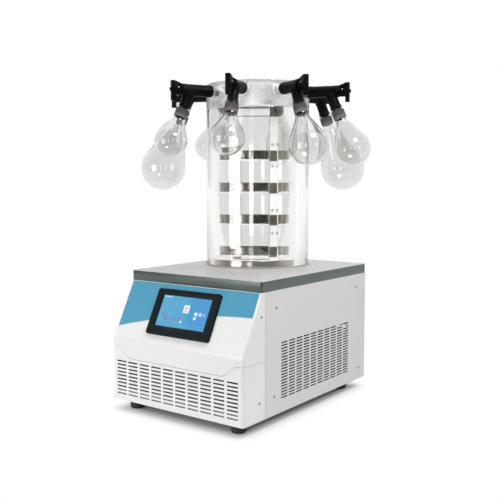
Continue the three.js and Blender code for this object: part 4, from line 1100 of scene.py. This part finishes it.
# The ground band round a neck: its radii, its top and its length.
JOINT_INNER, JOINT_OUTER, JOINT_TOP, JOINT_LENGTH = 18.15, 18.65, -60.4, 24


def bulb_outline(neck, neck_end, centre, radius):
    """The tangent cone from the neck to the sphere, then the sphere: (R sin a, R cos a - centre) from the
    tangent point a1 = atan(neck / gap) + acos(R / distance) round to its lowest point."""
    gap = centre - neck_end
    first = math.atan2(neck, gap) + math.acos(radius / math.hypot(neck, gap))
    a = np.linspace(first, math.pi, 40)
    arc = np.stack([radius * np.sin(a), -(centre - radius * np.cos(a))], -1)
    arc[-1, 0] = 0
    return arc


def flask_profile(centre, radius):
    """A wall's section from the lowest point outside, up the bulb and the neck, over the beaded rim and
    back down inside. The bulb eases into its neck on both faces."""
    rim, neck, inner, wall, skin = 54.4, 18.0, 15.0, 2.4, 0.3
    neck_end, straight, bead, easing = rim + 38, rim + 7, 1.3, 9
    outside = bulb_outline(neck, neck_end, centre, radius - skin)[::-1]
    inside = bulb_outline(inner, neck_end, centre, radius - skin - wall)
    bead_face = [(neck, -rim - 5.5), (neck + bead, -rim - 3.8), (neck + bead, -rim)]
    lip = eased([*bead_face, (inner, -rim), (inner, -rim - 6)], 1.2, 5, closed=False)
    throat_out = eased([outside[-1], (neck, -neck_end), (neck, -straight)], easing, 7, closed=False)
    throat_in = eased([(inner, -straight), (inner, -neck_end), inside[0]], easing, 7, closed=False)
    return np.concatenate([outside, throat_out[1:], lip, throat_in[:-1], inside]) * MM


def fit_valve(index):
    """The valve in its port: barrel and leg on the machine, the grip on its own knob."""
    axes = valve_axes(index)
    barrel = turned(barrel_profile(), FACETS["valve"], axes, closed=False)
    leg = turned(leg_profile(), FACETS["fitting"], leg_axes(index), closed=False)
    grip = joined(turned(knob_profile(), FACETS["fitting"], axes, closed=False), knob_wing(axes))
    piece(
        f"valve_{index}", joined(barrel, leg), valve_rubber, "machine", f"valve_body_{index}"
    )
    piece(f"knob_{index}_grip", grip, valve_rubber, f"knob_{index}", f"valve_knob_{index}")


def hang_flask(index, centre, radius):
    """The flask on its leg, and the ground band round its neck with a UV that runs down the leg."""
    axes = leg_axes(index)
    glass = turned(flask_profile(centre, radius), FACETS["flask"], axes, closed=False)
    piece(f"flask_{index}_glass", glass, flask_glass, "machine", f"flask_{index}")
    band = square_ring(JOINT_INNER, JOINT_OUTER, JOINT_TOP - JOINT_LENGTH, JOINT_TOP, 0.15)
    ring = turned(band, FACETS["valve"], axes)
    joint = piece(f"flask_{index}_joint", ring, ground_glass, "machine")
    middle = axes[0] + axes[3] * (JOINT_TOP - JOINT_LENGTH / 2) * MM
    flat_uv(joint, middle, axes[1], -axes[3], (JOINT_LENGTH, JOINT_LENGTH))


def pin_knob(index):
    """The pin's two heads, which turn with the knob."""
    pins = joined(*[knob_pin(valve_axes(index), side) for side in SIDES])
    piece(f"knob_{index}_pin", pins, rack_steel, f"knob_{index}")


for index, (centre, radius) in zip(PORTS, FLASK_SIZES):
    fit_valve(index)
    hang_flask(index, centre, radius)
    pin_knob(index)

# ------------------------------------------------------------------ tray rack and trays
# The rack's own axes: its posts stand on the line at RACK_TURN from X, through the trap's axis.
RACK_TURN = math.radians(-24)
RACK_X = np.array([math.cos(RACK_TURN), math.sin(RACK_TURN), 0])
RACK = (np.array([*TRAP_AXIS[:2], PLATE_TOP]), RACK_X, np.cross(Z, RACK_X), Z)
TRAY_FIRST, TRAY_PITCH, TRAY_COUNT, RACK_HEIGHT = 36.5, 89.2, 4, 449
TRAY_FLOORS = [TRAY_FIRST + level * TRAY_PITCH for level in range(TRAY_COUNT)]


def rack_slab(x, y, z, side=1):
    """A box on the rack's own axes, from its three spans; side -1 turns its x and y spans half round."""
    spans = [sorted((side * x[0], side * x[1])), sorted((side * y[0], side * y[1])), z]
    points, faces = slab(*np.transpose(spans) * MM)
    return placed(points, RACK), faces


def rack_posts():
    """Two flat posts, the bar that joins their tops and the block in each corner."""
    top, post, block, beam = RACK_HEIGHT, (108, 110), (99, 109), (-109, 109)
    posts = [rack_slab(post, (-15, 15), (22.4, top), side) for side in SIDES]
    bar = rack_slab(beam, (-1.1, 1.1), (top - 25, top))
    return joined(*posts, bar, *[rack_slab(block, (-9, 9), (top - 24, top - 1), side) for side in SIDES])


def rack_rings():
    """The foot ring on the collar and a flat ring under each tray."""
    gap, sheet = 0.3, 2.5
    rings = [square_ring(97, 117, 21.4, 24.3, 0.7)]
    rings += [square_ring(86, 108.4, floor - gap - sheet, floor - gap, 0.5) for floor in TRAY_FLOORS]
    return joined(*[turned(ring, FACETS["tray"], RACK) for ring in rings])


def rack_brackets_and_edge_shade():
    """Folded strips over the posts: the top bar's two flanges, and on each post a cap, a bracket over
    each tray and the two lips of its edges, thin dark strips that are painted shade along those folds."""
    top, beam, sheet, edge_shade_sheet = RACK_HEIGHT, (-107, 107), (110.2, 111.4), (110.05, 110.35)
    folds = [rack_slab(beam, (-6, 6), (top - 5, top)), rack_slab(beam, (-4, 4), (top - 27, top - 25))]
    for side in SIDES:
        folds.append(rack_slab(sheet, (-14, 14), (top - 27, top), side))
        folds += [rack_slab(sheet, (-13.2, 10.6), (z - 4.5, z + 24.5), side) for z in TRAY_FLOORS]
        # Painted shade: thin dark strips for the shadow lines along each post's folded edges.
        folds += [rack_slab(edge_shade_sheet, y, (25, top - 28), side) for y in ((-14.9, -13.5), (14.3, 14.9))]
    return joined(*folds)


def rack_rivets():
    """Rims of the punched holes in pairs up each post's outside, and two rivets through its cap."""
    post_face, cap_face = 110.0, 111.3
    rim = square_ring(2.1, 3.5, 0.05, 0.6, 0.2)
    punched = [(across, height) for height in (345, 286, 163, 98.5) for across in (-4.5, 11.3)]
    rivets = []
    for side in SIDES:
        holes = placed(np.array([(side * post_face, side * across, z) for across, z in punched]) * MM, RACK)
        rivets += [turned(rim, FACETS["hole"], axes_from(spot, RACK_X * side)) for spot in holes]
        caps = placed(np.array([(side * cap_face, y, RACK_HEIGHT - 12) for y in (-5, 5)]) * MM, RACK)
        rivets += [screw_head(spot, RACK_X * side, radius=3.4, dome=1.8) for spot in caps]
    return joined(*rivets)


def tray_profile():
    """A pressed tray's section: the floor, a side leaning out by 0.6, a rolled rim and the inside face."""
    floor, wall, height, rim = 1.5, 1.3, 25.0, 105.0
    outside = [(0, 0), (rim - 2, 0), (rim - 1.4, height - 2.2)]
    roll = [(rim, height - 1.6), (rim, height - 0.2), (rim - 1.6, height)]
    inside = [(rim - 1.4 - wall, height - 1.6), (rim - 2 - wall, floor), (0, floor)]
    return open_profile([*outside, *roll, *inside], [0, 3.2, 0.5, 0.5, 0.5, 0.5, 0.5, 2.4, 0], 5)


bevelled(piece("rack_posts", rack_posts(), rack_steel, "machine", "tray_rack"), 0.4 * MM)
piece("rack_rings", rack_rings(), rack_steel, "machine")
for level, floor in enumerate(TRAY_FLOORS, 1):
    axes = (RACK[0] + Z * floor * MM, *RACK[1:])
    shell = turned(tray_profile(), FACETS["tray"], axes, closed=False)
    piece(f"tray_{level}_pressed", shell, tray_steel_and_rib_shade, "machine", f"tray_{level}")
bevelled(piece("rack_brackets_and_edge_shade", rack_brackets_and_edge_shade(), brackets_and_edge_shade, "machine"), 0.3 * MM)
piece("rack_rivets", rack_rivets(), black_paint, "machine")

# ------------------------------------------------------------------ pipes and rear fittings
# The route from the compressor to the condenser, as chosen points in millimetres on the base.
HOT_GAS_ROUTE = [
    (184, 132, 62), (194, 122, 62), (204, 90, 62), (204, -20, 64), (204, -56, 84), (204, -63, 118),
    (204, -92, 156), (204, -170, 157), (203, -230, 157), (194, -290, 157), (178, -304, 157),
    (158.4, -304, 157),
]
PIPE_RADIUS = 4.5 * MM
hot_gas = smooth_route(np.array([on_base(*point) for point in HOT_GAS_ROUTE]), 90)
piece("hot_gas_pipe", piped(hot_gas, PIPE_RADIUS), copper, "machine", "discharge_pipe")
repaint("suction_pipe", lagging)


def vacuum_port():
    """A turned port: its flange inside the rear panel, the tube through it and the lip at its mouth.
    Section heights are millimetres behind the work surface's rear edge."""
    middle = np.mean(corners_of("vacuum_port"), axis=0)
    bore, tube, flange = 10, 13, 20
    inside = [(bore, -14), (flange, -14), (flange, -2.3), (tube, -2.3)]
    outside = [(tube, 20), (15, 21), (flange, 23), (flange, 26), (12.4, 26), (bore, 24)]
    axes = axes_from([middle[0], plate_high[1], middle[2]], Y)
    return turned(ring_profile([*inside, *outside], 0.8), FACETS["flask"], axes)


piece("vacuum_port_turned", vacuum_port(), rack_steel, "machine", "vacuum_port")
repaint("drain_valve", brass)
repaint("drain_lever", zinc_steel)
repaint("power_inlet", black_plastic)


# ------------------------------------------------------------------ floor
def bearing(azimuth, elevation):
    """Unit direction (sin a cos e, -cos a cos e, sin e): a turns from -Y towards +X, e rises."""
    a, e = math.radians(azimuth), math.radians(elevation)
    return np.array([math.sin(a) * math.cos(e), -math.cos(a) * math.cos(e), math.sin(e)])


# The room is dark towards this side, and the floor's shadow fades out over the band round the base.
DARK_SIDE = tuple(bearing(25, 0))
SHADOW_BAND, SHADOW_INSET = 66 * MM, 38 * MM
FLOOR_REACH = 30.0
HOUSING = ("lower_front_grille", "rear_panel", "left_side_panel", "right_side_panel")
housing_boxes = [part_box(name) for name in HOUSING]
shell_low, shell_high = np.min(housing_boxes, axis=(0, 1)), np.max(housing_boxes, axis=(0, 1))
# The outline that the shadow starts from: its middle and half size, with room for any height.
BASE_MIDDLE = (*((shell_low + shell_high) / 2)[:2], 0)
BASE_HALF = (*((shell_high - shell_low) / 2 - SHADOW_INSET)[:2], 1)


def straight_view(tree, path):
    """1 for a camera ray and for one that has only passed through glass, never off a mirror: the larger
    of Is Camera Ray and Is Transmission Ray * (Glossy Depth < 1/2)."""
    unmirrored = math_node(tree, "LESS_THAN", path["Glossy Depth"], 0.5)
    through = math_node(tree, "MULTIPLY", path["Is Transmission Ray"], unmirrored)
    return math_node(tree, "MAXIMUM", path["Is Camera Ray"], through)


def studio_sweep():
    """White sweep that keeps the shadow near the machine. With the distance d from the base's outline,
    |max(|p - middle| - half, 0)|, it turns plain white to the camera, a mirror or glass. Out towards the
    dark side of the room the floor is dark, and white only as seen straight."""
    material, tree, shader, place = start_material("studio_floor")
    path = node(tree, "ShaderNodeLightPath", {}).outputs
    white_floor, dark_floor = (0.82, 0.82, 0.82, 1), (0.04, 0.04, 0.04, 1)
    ahead = fitted(tree, vector_math(tree, "DOT_PRODUCT", place, DARK_SIDE), 0.8, 1.2)
    ground = mixed(tree, ahead, white_floor, dark_floor)
    feed(tree, shader, {"Base Color": ground, "Roughness": 0.9, "Specular IOR Level": 0.0})
    mirrored = math_node(tree, "MAXIMUM", path["Is Glossy Ray"], path["Is Transmission Ray"])
    mirrored = math_node(tree, "MULTIPLY", mirrored, math_node(tree, "SUBTRACT", 1.0, ahead))
    seen = math_node(tree, "MAXIMUM", straight_view(tree, path), mirrored)
    folded = vector_math(tree, "ABSOLUTE", vector_math(tree, "SUBTRACT", place, BASE_MIDDLE))
    outside = vector_math(tree, "MAXIMUM", vector_math(tree, "SUBTRACT", folded, BASE_HALF), (0, 0, 0))
    away = fitted(tree, vector_math(tree, "LENGTH", outside), 0.0, SHADOW_BAND)
    white = node(tree, "ShaderNodeEmission", {"Color": (1, 1, 1, 1), "Strength": 1.0})
    shader_mix(tree, math_node(tree, "MULTIPLY", away, seen), shader.outputs[0], white.outputs[0])
    return material


floor_corners = np.array([(-1, -1, 0), (1, -1, 0), (1, 1, 0), (-1, 1, 0)]) * FLOOR_REACH
floor_mesh = bpy.data.meshes.new("studio_floor")
floor_mesh.from_pydata(floor_corners.tolist(), [], [(0, 1, 2, 3)])
floor_mesh.materials.append(studio_sweep())
linked("studio_floor", floor_mesh)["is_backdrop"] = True

# ------------------------------------------------------------------ world, lamps, camera
scene = bpy.context.scene


def studio_world():
    """A white room as seen straight, and grey towards its dark side for light and mirrors: strength falls
    from 1 to 0.1 as direction . DARK_SIDE goes from -0.35 to 0.45."""
    world = bpy.data.worlds.new("studio")
    world.use_nodes = True
    tree = world.node_tree
    path = node(tree, "ShaderNodeLightPath", {}).outputs
    sky = tree.nodes.new("ShaderNodeTexCoord").outputs["Generated"]
    room = fitted(tree, vector_math(tree, "DOT_PRODUCT", sky, DARK_SIDE), 0.45, -0.35, 0.1, 1.0)
    strengths = {0: straight_view(tree, path), 2: room, 3: 1.0}
    strength = node(tree, "ShaderNodeMix", strengths, data_type="FLOAT").outputs[0]
    feed(tree, tree.nodes["Background"], {"Color": (1, 1, 1, 1), "Strength": strength})
    return world


def aimed(name, data, location, away):
    """A lamp or camera at a place, looking against the direction away."""
    obj = linked(name, data)
    obj.rotation_mode = "QUATERNION"
    obj.rotation_quaternion = Vector(-away).to_track_quat("-Z", "Y")
    obj.location = location
    return obj


def soft_lamp(name, location, target, size, power):
    """A soft box, width by height in metres and its power in watts, aimed at a point."""
    lamp = bpy.data.lights.new(name, "AREA")
    lamp.shape, lamp.energy = "RECTANGLE", power
    lamp.size, lamp.size_y = size
    aimed(name, lamp, location, unit(np.array(location) - np.array(target)))


scene.world = studio_world()
# The two boxes on the left mirror as upright stripes in the chamber's wall.
CHAMBER_LEVEL, MACHINE_LEVEL = np.array([0, 0, 0.5]), np.array([0, 0, 0.45])
soft_lamp("overhead", (-0.2, 0.0, 2.7), (0, 0, 0.3), (1.6, 1.6), 8)
soft_lamp("tall_left", CHAMBER_LEVEL + bearing(-14, 1) * 2.0, CHAMBER_LEVEL, (0.95, 1.1), 15)
soft_lamp("slim_left", CHAMBER_LEVEL + bearing(23.5, 1) * 2.6, CHAMBER_LEVEL, (0.36, 1.2), 5)
soft_lamp("near_right", MACHINE_LEVEL + bearing(70, 50) * 1.5, (0.2, -0.1, 0.3), (0.5, 0.5), 13.5)

CAMERA_AWAY, CAMERA_DISTANCE = bearing(36.4, 5.0), 2.1404
camera = bpy.data.cameras.new("camera")
camera.lens, camera.sensor_width = 53.3, 36
camera.clip_start, camera.clip_end = 0.05, 100
looked_at = on_base(-12.8, 0, 419.4)
scene.camera = aimed("camera", camera, looked_at + CAMERA_AWAY * CAMERA_DISTANCE, CAMERA_AWAY)
scene.view_settings.view_transform = "Standard"
# Enough bounces for light to cross the chamber, its trays and a flask on either side.
scene.cycles.transparent_max_bounces = 32
scene.cycles.transmission_bounces = 20
scene.cycles.max_bounces = 20

low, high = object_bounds()
